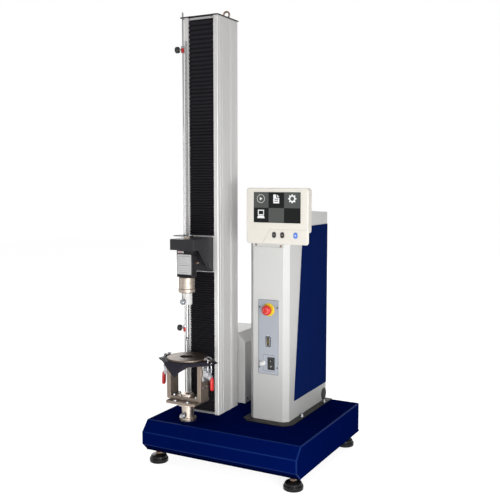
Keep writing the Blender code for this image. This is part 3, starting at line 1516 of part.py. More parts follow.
def latch_handle(label, side, carrier):
    """The lever on its pivot pin, ending in a red grip that hangs down when the latch is closed."""
    grip_out = GRIP_OUT - LATCH_PIVOT_OUT
    grip_top = GRIP_TOP - LATCH_PIVOT_HEIGHT
    arm_half = GRIP_THICKNESS / 2 - 0.0012
    outline = [
        (-LEVER_EYE, 0.001),
        (-LEVER_EYE, -0.004),
        (LATCH_HOOK_OUT - LEVER_EYE, -LATCH_HOOK_DROP - 0.0035),
        (LATCH_HOOK_OUT + 0.002, -LATCH_HOOK_DROP - LEVER_EYE),
        (grip_out - arm_half, grip_top - 0.004),
        (grip_out + arm_half, grip_top - 0.004),
        (grip_out + arm_half, grip_top + 0.002),
        (LEVER_EYE + 0.001, 0.001),
        (0.002, LEVER_EYE),
        (-0.003, LEVER_EYE - 0.001),
    ]
    if side < 0:
        outline = [(-x, z) for x, z in reversed(outline)]
    lever = flat("latch_handle_" + label, [rounded(outline, 0.0015, 2)], LEVER_WIDTH)
    centred = (0.0, 0.0, -LEVER_WIDTH / 2)
    pin_half = LATCH_EAR_Y + LATCH_EAR + 0.001
    pin = rod("latch_handle_%s_pin" % label, PIVOT_RADIUS, -pin_half, pin_half, 20)
    grip_box = centred_box("latch_handle_%s_grip" % label, GRIP_THICKNESS, GRIP_LENGTH, GRIP_WIDTH)
    soften(grip_box, 0.0032, 2)
    grip_centre = (side * grip_out, grip_top - GRIP_LENGTH / 2, -GRIP_WIDTH / 2)
    hook_hole = rod("latch_handle_%s_hook_hole" % label, HOOK_WIRE + GAP, -LEVER_WIDTH, LEVER_WIDTH, 20)
    for vertex in lever.data.vertices:
        vertex.co.z += centred[2]
    weld_on(lever, pin, shifted(grip_box, grip_centre))
    cut(lever, shifted(hook_hole, (side * LATCH_HOOK_OUT, -LATCH_HOOK_DROP, 0.0)))
    pivot = FIXTURE_WIDTH / 2 + LATCH_PIVOT_OUT
    at = (COLUMN_X + side * pivot, AXIS_Y, LATCH_PIVOT_HEIGHT)
    return put(lever, at, bright_steel(), carrier, FACING_FRONT)


def hook_path(side):
    """The closed path of the hook wire, from its hinge bar up both legs and over the ring's ear."""
    base = FIXTURE_WIDTH / 2
    hinge = (LATCH_PIVOT_OUT + LATCH_HOOK_OUT, LATCH_PIVOT_HEIGHT - LATCH_HOOK_DROP)
    bar_height = RING_BOTTOM + RING_THICKNESS + HOOK_WIRE + GAP
    bar_out = HOOK_BAR_IN
    side_view = [
        hinge,
        (HOOK_LEG_OUT, LATCH_PIVOT_HEIGHT),
        (HOOK_LEG_OUT, bar_height - HOOK_BEND),
        (HOOK_LEG_OUT - HOOK_BEND * 0.3, bar_height - HOOK_BEND * 0.3),
        (HOOK_LEG_OUT - HOOK_BEND, bar_height),
        (bar_out + HOOK_BEND, bar_height),
    ]
    corner = HOOK_WIRE * 1.6
    leg = HOOK_LEG_Y
    path = [(hinge[0], -leg + corner, hinge[1]), (hinge[0], leg - corner, hinge[1])]
    path += [(out, leg, height) for out, height in [(hinge[0] + 0.0006, hinge[1] + corner)] + side_view[1:]]
    path += [(bar_out, leg - corner, bar_height), (bar_out, -leg + corner, bar_height)]
    path += [(out, -leg, height) for out, height in side_view[:0:-1] + [(hinge[0] + 0.0006, hinge[1] + corner)]]
    return [(side * (base + out), y, height) for out, y, height in path]


def latch_hook(label, side, carrier):
    """The U-bolt: a closed loop of wire through the lever and over the ear of the clamp ring."""
    hinge_x = side * (FIXTURE_WIDTH / 2 + LATCH_PIVOT_OUT + LATCH_HOOK_OUT)
    hinge_z = LATCH_PIVOT_HEIGHT - LATCH_HOOK_DROP
    local = [(x - hinge_x, y, z - hinge_z) for x, y, z in hook_path(side)]
    hook = wire("latch_hook_" + label, local, HOOK_WIRE, 2, cyclic=True)
    return put(hook, (COLUMN_X + hinge_x, AXIS_Y, hinge_z), bright_steel(), carrier)


def tower_shell():
    """The tower's sheet-metal shell: chamfered front corners, a roof that falls to the rear, open below."""
    plan = chamfered_front(TOWER_WIDTH, 0.0, TOWER_DEPTH, TOWER_CHAMFER)
    shell = flat("tower_shell", [plan], TOWER_HEIGHT_FRONT)
    inner_plan = inset(plan, [TOWER_SHEET] * len(plan))
    inside = flat("tower_shell_hollow", [inner_plan], TOWER_HEIGHT_FRONT)
    fall = TOWER_HEIGHT_FRONT - TOWER_HEIGHT_REAR
    slope = math.atan2(fall, TOWER_DEPTH)
    for solid, drop in ((shell, 0.0), (inside, TOWER_SHEET + CUT_MARGIN)):
        for vertex in solid.data.vertices:
            if vertex.co.z > TOWER_HEIGHT_FRONT / 2:
                vertex.co.z -= vertex.co.y * math.tan(slope)
        solid.location.z = -drop
    shell.location.z = 0.0
    cut(shell, inside)
    centre_x = CONTROL_OFFSET_X
    for label, spot, radius in (
        ("estop", ESTOP_AT, ESTOP_NECK_RADIUS + RUNNING_GAP + GAP),
        ("knob", KNOB_AT, KNOB_SHAFT + RUNNING_GAP),
    ):
        hole = rod("tower_shell_hole_" + label, radius, -CUT_MARGIN * 2, CUT_MARGIN * 2)
        height = CONTROL_CENTRE_HEIGHT + spot[1] - TOWER_BOTTOM
        cut(shell, shifted(hole, (centre_x + spot[0], 0.0, height), FACING_FRONT))
    plug_hole = rod("tower_shell_hole_plug", PLUG_NECK_RADIUS + GAP, -CUT_MARGIN * 2, CUT_MARGIN * 2)
    plug_at = (TOWER_WIDTH / 2, TOWER_DEPTH - PLUG_FROM_REAR, PLUG_HEIGHT)
    cut(shell, shifted(plug_hole, plug_at, POINTING_RIGHT))
    return put(shell, (TOWER_X, TOWER_FRONT, TOWER_BOTTOM), grey_paint(), BASE)


def tower_plinth():
    width = TOWER_WIDTH + 2 * PLINTH_SIDE
    outline = chamfered_front(width, -PLINTH_FRONT, TOWER_DEPTH + PLINTH_REAR, PLINTH_CHAMFER)
    plinth = flat("tower_plinth", [outline], PLINTH_THICKNESS)
    return put(plinth, (TOWER_X, TOWER_FRONT, DECK), black_rubber(), BASE)


def side_panel():
    rear = TOWER_DEPTH - PANEL_REAR_INSET
    outline = rounded(
        [
            (rear - PANEL_REACH_LOW, PANEL_LOW),
            (rear, PANEL_LOW),
            (rear, PANEL_HIGH),
            (rear - PANEL_REACH_HIGH, PANEL_HIGH),
        ],
        0.002,
        2,
    )
    panel = flat("side_panel", [outline], PANEL_THICKNESS)
    return put(panel, (TOWER_RIGHT + GAP, TOWER_FRONT, TOWER_BOTTOM), navy_paint(), BASE, FACING_RIGHT)


def cable_plug():
    profile = [
        (0.0, PLUG_DOME),
        (PLUG_RADIUS - 0.006, PLUG_DOME),
        (PLUG_RADIUS - 0.001, PLUG_DOME * 0.6),
        (PLUG_RADIUS, 0.0),
        (PLUG_NECK_RADIUS, 0.0),
        (PLUG_NECK_RADIUS, -PLUG_NECK),
        (0.0, -PLUG_NECK),
    ]
    plug = turned("cable_plug", profile, steps=28)
    at = (TOWER_RIGHT + GAP, TOWER_REAR - PLUG_FROM_REAR, TOWER_BOTTOM + PLUG_HEIGHT)
    return put(plug, at, black_rubber(), BASE, POINTING_RIGHT)


def control_centre():
    return (TOWER_X + CONTROL_OFFSET_X, TOWER_FRONT - GAP, CONTROL_CENTRE_HEIGHT)


def on_control_plate(spot, proud=0.0):
    """A world place on the control plate, spot from its centre, proud metres in front of its face."""
    x, y, z = control_centre()
    return (x + spot[0], y - CONTROL_THICKNESS - proud, z + spot[1])


def control_plate():
    """The plate with the data socket and the rocker's frame, and holes for what turns or travels."""
    outline = rounded(rectangle(CONTROL_WIDTH, CONTROL_HEIGHT), CONTROL_CORNER, 2)
    estop_hole = circle(ESTOP_NECK_RADIUS + RUNNING_GAP, ESTOP_AT, 32)
    knob_hole = circle(KNOB_SHAFT + RUNNING_GAP, KNOB_AT, 16)
    plate = flat("control_plate", [outline, estop_hole, knob_hole], CONTROL_THICKNESS)
    raised = CONTROL_THICKNESS - 0.0005
    socket = flat("control_plate_socket", [rounded(rectangle(*SOCKET_SIZE, SOCKET_AT), 0.003)], SOCKET_HEIGHT)
    frame = flat(
        "control_plate_rocker_frame",
        [rounded(rectangle(*ROCKER_FRAME, ROCKER_AT), 0.002)],
        ROCKER_FRAME_HEIGHT + 0.0005,
    )
    weld_on(plate, shifted(socket, (0.0, 0.0, raised)), shifted(frame, (0.0, 0.0, raised)))
    hole_size = (ROCKER_SIZE[0] + 2 * RUNNING_GAP, ROCKER_SIZE[1] + 2 * RUNNING_GAP)
    well = flat("control_plate_rocker_well", [rectangle(*hole_size, ROCKER_AT)], CONTROL_THICKNESS + CUT_MARGIN)
    cut(plate, shifted(well, (0.0, 0.0, CONTROL_THICKNESS - 0.0008)))
    pin_reach = (SOCKET_SIZE[0] - 0.007, SOCKET_SIZE[1] - 0.010)
    recess = flat("control_plate_socket_recess", [rounded(rectangle(*pin_reach, SOCKET_AT), 0.003)], SOCKET_HEIGHT)
    cut(plate, shifted(recess, (0.0, 0.0, CONTROL_THICKNESS + SOCKET_HEIGHT - 0.0025)))
    return put(plate, control_centre(), panel_film(), BASE, FACING_FRONT)


def estop_collar():
    """The yellow disc and the switch body behind it, bored for the mushroom's neck."""
    bore = ESTOP_NECK_RADIUS - 0.002
    tail = -CONTROL_THICKNESS - TOWER_SHEET - ESTOP_BODY
    profile = [
        (ESTOP_COLLAR_RADIUS - 0.001, ESTOP_COLLAR_HEIGHT - 0.0035),
        (ESTOP_COLLAR_RADIUS, ESTOP_COLLAR_HEIGHT - 0.0045),
        (ESTOP_COLLAR_RADIUS, GAP),
        (ESTOP_NECK_RADIUS, GAP),
        (ESTOP_NECK_RADIUS, tail),
        (bore, tail),
        (bore, ESTOP_COLLAR_HEIGHT),
        (ESTOP_NECK_RADIUS + 0.002, ESTOP_COLLAR_HEIGHT),
        (ESTOP_NECK_RADIUS + 0.002, ESTOP_COLLAR_HEIGHT - 0.0035),
    ]
    collar = turned("estop_collar", profile, steps=28, closed=True)
    return put(collar, on_control_plate(ESTOP_AT), yellow_plastic(), BASE, FACING_FRONT)


def estop_button():
    """The red mushroom with its domed head, on a neck that slides in the collar."""
    neck = ESTOP_NECK_RADIUS - 0.002 - GAP
    base = ESTOP_HEAD_BASE
    top = base + ESTOP_HEAD_HEIGHT
    rim = ESTOP_HEAD_RADIUS
    profile = [
        (0.0, top),
        (rim * 0.45, top - 0.0006),
        (rim * 0.78, top - 0.0024),
        (rim * 0.95, top - 0.0052),
        (rim, top - 0.0080),
        (rim, base + 0.0016),
        (rim - 0.0014, base),
        (neck, base),
        (neck, -0.012),
        (0.0, -0.012),
    ]
    button = turned("estop_button", profile, steps=28)
    return put(button, on_control_plate(ESTOP_AT), red_plastic(), ESTOP, FACING_FRONT)


def power_rocker():
    """The rocker: two shallow slopes on its face, tilted to its rest side, and a keel on the hinge line."""
    width, height = ROCKER_SIZE
    half = height / 2
    level = [(-half, 0.0038), (-half, 0.0018), (0.0, -0.0004), (half, 0.0018), (half, 0.0038), (0.0, 0.0030)]
    tilt = math.radians(ROCKER_TILT)
    outline = [
        (-(y * math.sin(tilt) + x * math.cos(tilt)), y * math.cos(tilt) - x * math.sin(tilt)) for x, y in level
    ]
    # The outline is (height, proud), so the rocker is built on its side and then turned upright.
    rocker = flat("power_rocker", [outline], width)
    for vertex in rocker.data.vertices:
        along, proud, across = vertex.co
        vertex.co = (across - width / 2, along, proud)
    return put(rocker, on_control_plate(ROCKER_AT), black_plastic(), ROCKER, FACING_FRONT)


def speed_knob():
    profile = [
        (0.0, KNOB_HEIGHT),
        (KNOB_RADIUS - 0.0020, KNOB_HEIGHT),
        (KNOB_RADIUS - 0.0012, KNOB_HEIGHT - 0.0008),
        (KNOB_RADIUS - 0.0006, KNOB_SKIRT),
        (KNOB_RADIUS, KNOB_SKIRT - 0.0010),
        (KNOB_RADIUS, GAP),
        (KNOB_SHAFT, GAP),
        (KNOB_SHAFT, -CONTROL_THICKNESS - TOWER_SHEET - 0.004),
        (0.0, -CONTROL_THICKNESS - TOWER_SHEET - 0.004),
    ]
    knob = turned("speed_knob", profile, steps=24)
    return put(knob, on_control_plate(KNOB_AT), white_plastic(), KNOB, FACING_FRONT)


def display_housing():
    """The display's cream case: face plate, deeper upper back, rear box and the bracket plate on the tower."""
    face_loop = rounded(rectangle(DISPLAY_WIDTH, DISPLAY_HEIGHT), DISPLAY_CORNER, 5)
    face_base = DISPLAY_BACK + DISPLAY_BOX[2]
    case = flat("display_housing", [face_loop], DISPLAY_FACE)
    for vertex in case.data.vertices:
        vertex.co.z += face_base
    soften(case, 0.0018, 2, 60.0)
    back_height = DISPLAY_HEIGHT - DISPLAY_BACK_STEP
    back_loop = rounded(
        rectangle(DISPLAY_WIDTH - 0.002, back_height - 0.002, (0.0, DISPLAY_BACK_STEP / 2)),
        DISPLAY_CORNER,
        5,
    )
    back = flat("display_housing_back", [back_loop], DISPLAY_BACK + HOUSING_LAP)
    box_width, box_height, box_depth = DISPLAY_BOX
    tower_centre = TOWER_X - DISPLAY_CENTRE_X
    box_loop = rectangle(box_width, box_height, DISPLAY_BOX_AT)
    rear_box = flat("display_housing_box", [box_loop], box_depth + HOUSING_LAP + BRACKET_LAP)
    bracket_width = TOWER_WIDTH - 2 * TOWER_CHAMFER
    bracket_low = -DISPLAY_HEIGHT / 2 - BRACKET_BELOW
    bracket_high = 0.030
    bracket_loop = rectangle(
        bracket_width, bracket_high - bracket_low, (tower_centre, (bracket_high + bracket_low) / 2)
    )
    bracket = flat("display_housing_bracket", [bracket_loop], BRACKET_THICKNESS)
    weld_on(
        case,
        shifted(back, (0.0, 0.0, box_depth)),
        shifted(rear_box, (0.0, 0.0, -BRACKET_LAP)),
        shifted(bracket, (0.0, 0.0, -BRACKET_THICKNESS)),
    )
    screen_loop = rounded(rectangle(SCREEN_SIZE[0] + 2 * GAP, SCREEN_SIZE[1] + 2 * GAP, SCREEN_AT), 0.001, 1)
    pocket = flat("display_housing_pocket", [screen_loop], SCREEN_RECESS + CUT_MARGIN)
    cut(case, shifted(pocket, (0.0, 0.0, face_base + DISPLAY_FACE - SCREEN_RECESS)))
    for index, x in enumerate(BUTTON_AT):
        width = BUTTON_SIZE[0] + 2 * RUNNING_GAP
        height = BUTTON_SIZE[1] + 2 * RUNNING_GAP
        well_loop = rounded(rectangle(width, height, (x, BUTTON_LOW)), width / 2, 4)
        well = flat("display_housing_well_%d" % index, [well_loop], BUTTON_HEIGHT + CUT_MARGIN)
        cut(case, shifted(well, (0.0, 0.0, face_base + DISPLAY_FACE - BUTTON_HEIGHT - GAP)))
    at = (DISPLAY_CENTRE_X, TOWER_FRONT - BRACKET_THICKNESS - GAP, DISPLAY_CENTRE_HEIGHT)
    return put(case, at, cream_plastic(), BASE, FACING_FRONT)


def display_screen():
    loop = rounded(rectangle(*SCREEN_SIZE), 0.001, 1)
    thickness = SCREEN_RECESS - 0.0008
    screen = flat("display_screen", [loop], thickness)
    at = (
        DISPLAY_CENTRE_X + SCREEN_AT[0],
        DISPLAY_FRONT + SCREEN_RECESS - GAP,
        DISPLAY_CENTRE_HEIGHT + SCREEN_AT[1],
    )
    return put(screen, at, screen_glass(), BASE, FACING_FRONT)


def display_button(label, x, finish, carrier):
    width, height = BUTTON_SIZE
    button = flat("display_button_" + label, [rounded(rectangle(width, height), width / 2, 4)], BUTTON_HEIGHT)
    soften(button, 0.0005, 1, 60.0)
    at = (DISPLAY_CENTRE_X + x, DISPLAY_FRONT + BUTTON_HEIGHT - BUTTON_TRAVEL, DISPLAY_CENTRE_HEIGHT + BUTTON_LOW)
    return put(button, at, finish, carrier, FACING_FRONT)


clear_scene()
PARTS = new_collection("universal_testing_machine")
CUTTERS = new_collection("cutters")
BASE = joint_empty("machine_body", (0.0, 0.0, 0.0))
CROSSHEAD = joint_empty("crosshead_slide", (COLUMN_X, COLUMN_FRONT, ARM_TOP))
SCREW = joint_empty("screw_axis", (COLUMN_X, SCREW_Y, DECK))
MOTOR = joint_empty("motor_axis", (COLUMN_X, MOTOR_Y, DECK))
UPPER_STOP = joint_empty("upper_stop_slide", (ROD_X, ROD_Y, DECK + UPPER_STOP_HEIGHT))
LOWER_STOP = joint_empty("lower_stop_slide", (ROD_X, ROD_Y, DECK + LOWER_STOP_HEIGHT))
COUPLING_NUT = joint_empty("coupling_ring_axis", (COLUMN_X, AXIS_Y, LOCK_TOP))
LOCK_NUT = joint_empty("base_lock_ring_axis", (COLUMN_X, AXIS_Y, DECK))
SLEEVE_PIN = joint_empty("sleeve_pin_slide", (COLUMN_X, AXIS_Y, SLEEVE_BOTTOM + PROBE_SEAT / 2))
STEM_PIN = joint_empty("fixture_pin_slide", (COLUMN_X, AXIS_Y, DECK + FIXTURE_PIN_HEIGHT))
ESTOP = joint_empty("estop_slide", on_control_plate(ESTOP_AT))
ROCKER = joint_empty("rocker_hinge", on_control_plate(ROCKER_AT))
KNOB = joint_empty("knob_axis", on_control_plate(KNOB_AT))

base_cover()
base_frame()
for foot_label, (foot_x, foot_y) in foot_places().items():
    levelling_foot(foot_label, foot_x, foot_y)

column_extrusion()
column_top_plate()
eye_bolt()
bearing_block("bottom_bearing_block", DECK + GAP, 0.0)
bearing_block("top_bearing_block", COLUMN_TOP - BEARING_HEIGHT, BEARING_HEIGHT - BEARING_LIP - 0.002)
guide_rail()
ball_screw()
pulley("screw_pulley", SCREW_PULLEY_TEETH, SCREW_JOURNAL + GAP, COLUMN_X, SCREW_Y, SCREW)
drive_motor()
motor_shaft_pulley()
timing_belt()
motor_cover()
bellows(
    "bellows_upper",
    CARRIAGE_TOP + GAP,
    COLUMN_TOP - BEARING_LIP - 0.002 - GAP,
    UPPER_PITCH_LOW,
    UPPER_PITCH_TOP,
)
bellows("bellows_lower", DECK + BEARING_LIP + 2 * GAP, CARRIAGE_BOTTOM - GAP, LOWER_PITCH, LOWER_PITCH)
scale_strip()
limit_rod()
stop_collar("upper", UPPER_STOP_HEIGHT, UPPER_STOP)
stop_collar("lower", LOWER_STOP_HEIGHT, LOWER_STOP)

carriage()
crosshead_arm()
limit_actuator()
load_cell()
upper_coupling()
coupling_ring()
probe_sleeve()
puncture_probe()
cross_pin(
    "sleeve_pin",
    SLEEVE_RADIUS,
    SLEEVE_RADIUS - PROBE_RADIUS - 2 * GAP,
    SLEEVE_PIN.location,
    SLEEVE_PIN,
)

fixture_stem()
base_lock_ring()
cross_pin("fixture_pin", STEM_FIXTURE_RADIUS, STEM_FIXTURE_RADIUS * 0.8, STEM_PIN.location, STEM_PIN)
fixture_base_plate()
fixture_frame()
specimen_sheet()
clamp_ring()
for latch_label, latch_side in (("left", -1), ("right", 1)):
    pivot_x = COLUMN_X + latch_side * (FIXTURE_WIDTH / 2 + LATCH_PIVOT_OUT)
    handle_axis = joint_empty("latch_axis_" + latch_label, (pivot_x, AXIS_Y, LATCH_PIVOT_HEIGHT))
    hook_at = (pivot_x + latch_side * LATCH_HOOK_OUT, AXIS_Y, LATCH_PIVOT_HEIGHT - LATCH_HOOK_DROP)
    hook_axis = joint_empty("hook_axis_" + latch_label, hook_at)
    latch_base(latch_label, latch_side)
    latch_handle(latch_label, latch_side, handle_axis)
    latch_hook(latch_label, latch_side, hook_axis)

tower_plinth()
tower_shell()
side_panel()
cable_plug()
control_plate()
estop_collar()
estop_button()
power_rocker()
speed_knob()
display_housing()
display_screen()
for button_label, button_x, button_finish in (
    ("left", BUTTON_AT[0], black_plastic()),
    ("middle", BUTTON_AT[1], black_plastic()),
    ("right", BUTTON_AT[2], blue_plastic()),
):
    button_at = (DISPLAY_CENTRE_X + button_x, DISPLAY_FRONT, DISPLAY_CENTRE_HEIGHT + BUTTON_LOW)
    button_slide = joint_empty("display_button_slide_" + button_label, button_at)
    display_button(button_label, button_x, button_finish, button_slide)
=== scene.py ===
# %% [markdown]
# # A single-column testing machine, dressed round its CAD frame
# The machine squeezes, pulls or pierces a sample and measures the force. A ball screw inside
# the column drives the black crosshead arm down, the load cell under the arm feels the push,
# and the probe goes through a sheet that is clamped in the fixture on the base.
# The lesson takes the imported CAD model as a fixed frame, and builds each visible piece again as
# a numpy surface with the bends, rounds, threads and marks that the real one has.

# %% Load the frame
import math

import bmesh
import bpy
import numpy as np
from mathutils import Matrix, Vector
from mathutils.geometry import tessellate_polygon


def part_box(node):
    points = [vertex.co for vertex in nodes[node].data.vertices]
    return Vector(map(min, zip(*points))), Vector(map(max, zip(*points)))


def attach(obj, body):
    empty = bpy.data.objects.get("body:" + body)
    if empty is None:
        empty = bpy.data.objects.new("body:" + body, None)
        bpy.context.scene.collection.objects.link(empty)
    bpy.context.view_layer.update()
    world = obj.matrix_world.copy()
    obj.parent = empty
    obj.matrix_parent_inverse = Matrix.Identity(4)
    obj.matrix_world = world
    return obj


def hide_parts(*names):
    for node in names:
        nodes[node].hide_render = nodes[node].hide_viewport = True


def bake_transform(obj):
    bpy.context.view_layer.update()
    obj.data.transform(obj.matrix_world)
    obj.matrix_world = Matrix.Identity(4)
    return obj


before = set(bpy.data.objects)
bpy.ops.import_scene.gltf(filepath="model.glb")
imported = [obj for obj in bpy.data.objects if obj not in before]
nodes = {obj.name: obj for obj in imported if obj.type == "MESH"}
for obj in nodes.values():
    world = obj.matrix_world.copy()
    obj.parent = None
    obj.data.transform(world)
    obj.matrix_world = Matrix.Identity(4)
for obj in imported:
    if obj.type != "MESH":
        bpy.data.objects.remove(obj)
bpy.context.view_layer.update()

# %% [markdown]
# ## The camera
# The picture is square. The machine's sides converge very little, so the lens is a long one,
# standing to the right of the machine and looking slightly down.

# %% Set the camera
EYE = np.array([1.13698, -2.16913, 0.90288])
YAW, PITCH = math.radians(28.0247), math.radians(5.2888)
AHEAD = np.array([-math.sin(YAW) * math.cos(PITCH), math.cos(YAW) * math.cos(PITCH),
                  -math.sin(PITCH)])


def look(thing, place, ahead):
    """Puts a camera or lamp at a place, with its own -Z along the direction it looks in."""
    thing.location = Vector(place)
    thing.rotation_euler = Vector(ahead).to_track_quat("-Z", "Y").to_euler()
    bpy.context.scene.collection.objects.link(thing)
    return thing


lens = bpy.data.cameras.new("camera")
lens.lens, lens.sensor_width, lens.clip_end = 54.62, 36.0, 60.0
bpy.context.scene.camera = look(bpy.data.objects.new("camera", lens), EYE, AHEAD)
bpy.context.scene.view_settings.view_transform = "Standard"
print("camera", lens.lens, "mm at", EYE)

# %% [markdown]
# ## Lamps
# The machine was lit softly from the front right: the slanted corners between the front and
# the right side are the brightest faces on it. A large soft lamp stands there, with weaker ones
# in front, on the left, overhead and behind, and a low strip lights the front of the base.

# %% Light the machine
MIDDLE = np.array([-0.02, -0.02, 0.35])


def softbox(name, azimuth, elevation, distance, size, power):
    """A square area lamp on a sphere round the machine, looking at its middle."""
    a, e = math.radians(azimuth), math.radians(elevation)
    out = np.array([math.sin(a) * math.cos(e), -math.cos(a) * math.cos(e), math.sin(e)])
    lamp = bpy.data.lights.new(name, "AREA")
    lamp.shape, lamp.size, lamp.size_y, lamp.energy = "RECTANGLE", size[0], size[1], power
    return look(bpy.data.objects.new(name, lamp), MIDDLE + out * distance, -out)


softbox("key_softbox", 48, 1.5, 3.2, (1.3, 1.1), 94)
softbox("front_softbox", 6, 2, 4.5, (1.8, 1.6), 22)
softbox("left_softbox", -60, 5, 4.5, (1.4, 2.0), 28)
softbox("top_softbox", 10, 80, 5.2, (3.2, 3.2), 38)
softbox("rear_softbox", 215, 25, 6.0, (2.8, 3.6), 80)
softbox("low_strip", 32, -4, 1.15, (1.4, 0.16), 5.6).location.z = 0.20
print("six soft lamps")

# %% [markdown]
# ## World and floor
# The world gives the rest of the light. The white background is only what the camera and the
# reflections see, so it adds no light to the paint. The same trick lifts the paper floor.

# %% World and floor
def feed(tree, node, *feeds):
    """Gives a node's inputs their values; a value is another node's socket or a number."""
    for key, value in feeds:
        if isinstance(value, bpy.types.NodeSocket):
            tree.links.new(value, node.inputs[key])
        else:
            node.inputs[key].default_value = value
    return node


def add_node(tree, kind, *feeds):
    """A new shader node with its inputs fed."""
    return feed(tree, tree.nodes.new("ShaderNode" + kind), *feeds)


def worked(tree, operation, *terms):
    """The result of a Math node; each term is a socket or a number."""
    node = add_node(tree, "Math", *enumerate(terms))
    node.operation = operation
    return node.outputs[0]


world = bpy.data.worlds.new("studio")
world.use_nodes = True
bpy.context.scene.world = world
tree = world.node_tree
tree.nodes.clear()
ray = add_node(tree, "LightPath").outputs
seen = worked(tree, "ADD", ray["Is Camera Ray"], ray["Is Transmission Ray"])
strength = worked(tree, "MULTIPLY_ADD", seen, 0.68, 0.32)
strength = worked(tree, "MULTIPLY_ADD", ray["Is Glossy Ray"], 0.25, strength)
glow = add_node(tree, "Background", ("Color", (1, 1, 1, 1)), ("Strength", strength))
add_node(tree, "OutputWorld", ("Surface", glow.outputs[0]))

REACH = 7.0
floor_mesh = bpy.data.meshes.new("floor")
floor_mesh.from_pydata([(-REACH, -REACH, 0), (REACH, -REACH, 0), (REACH, REACH, 0), (-REACH, REACH, 0)],
                       [], [(0, 1, 2, 3)])
floor = bpy.data.objects.new("floor", floor_mesh)
bpy.context.scene.collection.objects.link(floor)
paper = bpy.data.materials.new("floor_paper")
paper.use_nodes = True
tree = paper.node_tree
ray = add_node(tree, "LightPath").outputs
seen = worked(tree, "ADD", ray["Is Camera Ray"], ray["Is Glossy Ray"])
feed(tree, tree.nodes["Principled BSDF"], ("Base Color", (0.46, 0.46, 0.46, 1)), ("Roughness", 0.9),
     ("Specular IOR Level", 0.0), ("Emission Color", (1, 1, 1, 1)),
     ("Emission Strength", worked(tree, "MULTIPLY", seen, 0.84)))
floor_mesh.materials.append(paper)
print("a plain world and a paper floor", 2 * REACH, "m wide")

# %% [markdown]
# ## Effects that several finishes share
# Powder paint has a fine orange peel, machined metal has lines that follow the tool, and
# everything gathers a little dust on the faces that look up. Each effect is a node group, made
# once, with its own size and strength in every material that uses it. The groups give out
# masks and heights only; the shader itself stays in each material.

# %% Build the shared node groups
def group(name, amount, outputs, effect):
    """A new shader node group: a Vector and one named amount go in, and the effect's results
    come out."""
    made = bpy.data.node_groups.new(name, "ShaderNodeTree")
    for title, kind in (("Vector", "Vector"), (amount, "Float")):
        made.interface.new_socket(title, in_out="INPUT", socket_type="NodeSocket" + kind)
    for title in outputs:
        made.interface.new_socket(title, in_out="OUTPUT", socket_type="NodeSocketFloat")
    ends, out = made.nodes.new("NodeGroupInput"), made.nodes.new("NodeGroupOutput")
    feed(made, out, *zip(outputs, effect(made, ends.outputs[0], ends.outputs[1])))
    return made


def noise_in(tree, vector, scale, detail, roughness=0.5):
    """A Noise Texture, from about 0 to 1."""
    return add_node(tree, "TexNoise", ("Vector", vector), ("Scale", scale), ("Detail", detail),
                    ("Roughness", roughness)).outputs["Fac"]


def orange_peel(tree, where, size):
    """Two noises, one the size of the drops and one a third of it."""
    specks = noise_in(tree, where, worked(tree, "MULTIPLY", size, 3.1), 0.0)
    height = worked(tree, "MULTIPLY_ADD", specks, 0.35, noise_in(tree, where, size, 1.0))
    return height, noise_in(tree, where, 7.0, 3.0)


def tool_lines(tree, where, fineness):
    """A noise; a mapping that squeezes it hard along one axis makes it run as lines."""
    return noise_in(tree, where, fineness, 3.0, 0.7), noise_in(tree, where, 14.0, 3.0, 0.6)


def turned_rings(tree, where, fineness):
    """The distance from the Z axis, sqrt(x * x + y * y), and the height, through a fine noise."""
    x, y, z = add_node(tree, "SeparateXYZ", (0, where)).outputs
    squares = worked(tree, "MULTIPLY_ADD", x, x, worked(tree, "MULTIPLY", y, y))
    joined = add_node(tree, "CombineXYZ", ("X", worked(tree, "SQRT", squares)), ("Z", z))
    return noise_in(tree, joined.outputs[0], fineness, 1.0, 0.6), noise_in(tree, where, 60.0, 3.0, 0.6)


def settled_dust(tree, where, amount):
    """The share of the normal that looks up, to the third power, broken by a soft noise."""
    normal = add_node(tree, "NewGeometry").outputs["Normal"]
    upward = worked(tree, "MAXIMUM", add_node(tree, "SeparateXYZ", (0, normal)).outputs["Z"], 0.0)
    flecks = worked(tree, "MULTIPLY", noise_in(tree, where, 90.0, 4.0, 0.65), amount)
    return [worked(tree, "MULTIPLY", worked(tree, "POWER", upward, 3.0), flecks)]


def edge_wear(tree, where, amount):
    """Where the surface is sharply convex, broken by a noise."""
    sharp = add_node(tree, "MapRange", ("Value", add_node(tree, "NewGeometry").outputs["Pointiness"]),
                     ("From Min", 0.53), ("From Max", 0.66)).outputs[0]
    nicks = worked(tree, "MULTIPLY", noise_in(tree, where, 160.0, 4.0, 0.7), amount)
    return [worked(tree, "MULTIPLY", sharp, nicks)]


PEEL = group("orange_peel", "Size", ["Height", "Tone"], orange_peel)
LINES = group("tool_lines", "Fineness", ["Height", "Tone"], tool_lines)
RINGS = group("turned_rings", "Fineness", ["Height", "Tone"], turned_rings)
DUST = group("settled_dust", "Amount", ["Mask"], settled_dust)
WEAR = group("edge_wear", "Amount", ["Mask"], edge_wear)
print("node groups:", [made.name for made in bpy.data.node_groups])

# %% [markdown]
# ## Finishes
# One function lays out every material in the same order: where the pattern is centred, what
# texture it has, how the tone wanders, and where dust or wear shows. The named finishes below
# then say only what is particular to them.

# %% The material maker
def add_group(tree, effect, where, amount):
    """Places a shared effect in a material, with its own amount."""
    node = tree.nodes.new("ShaderNodeGroup")
    node.node_tree = effect
    return feed(tree, node, (0, where), (1, amount)).outputs


def mixed(tree, factor, first, second):
    """A Mix node for colours: the first is a socket or an RGB value, the second is RGB."""
    node = tree.nodes.new("ShaderNodeMix")
    node.data_type = "RGBA"
    first = first if isinstance(first, bpy.types.NodeSocket) else (*first, 1.0)
    return feed(tree, node, (0, factor), (6, first), (7, (*second, 1.0))).outputs[2]


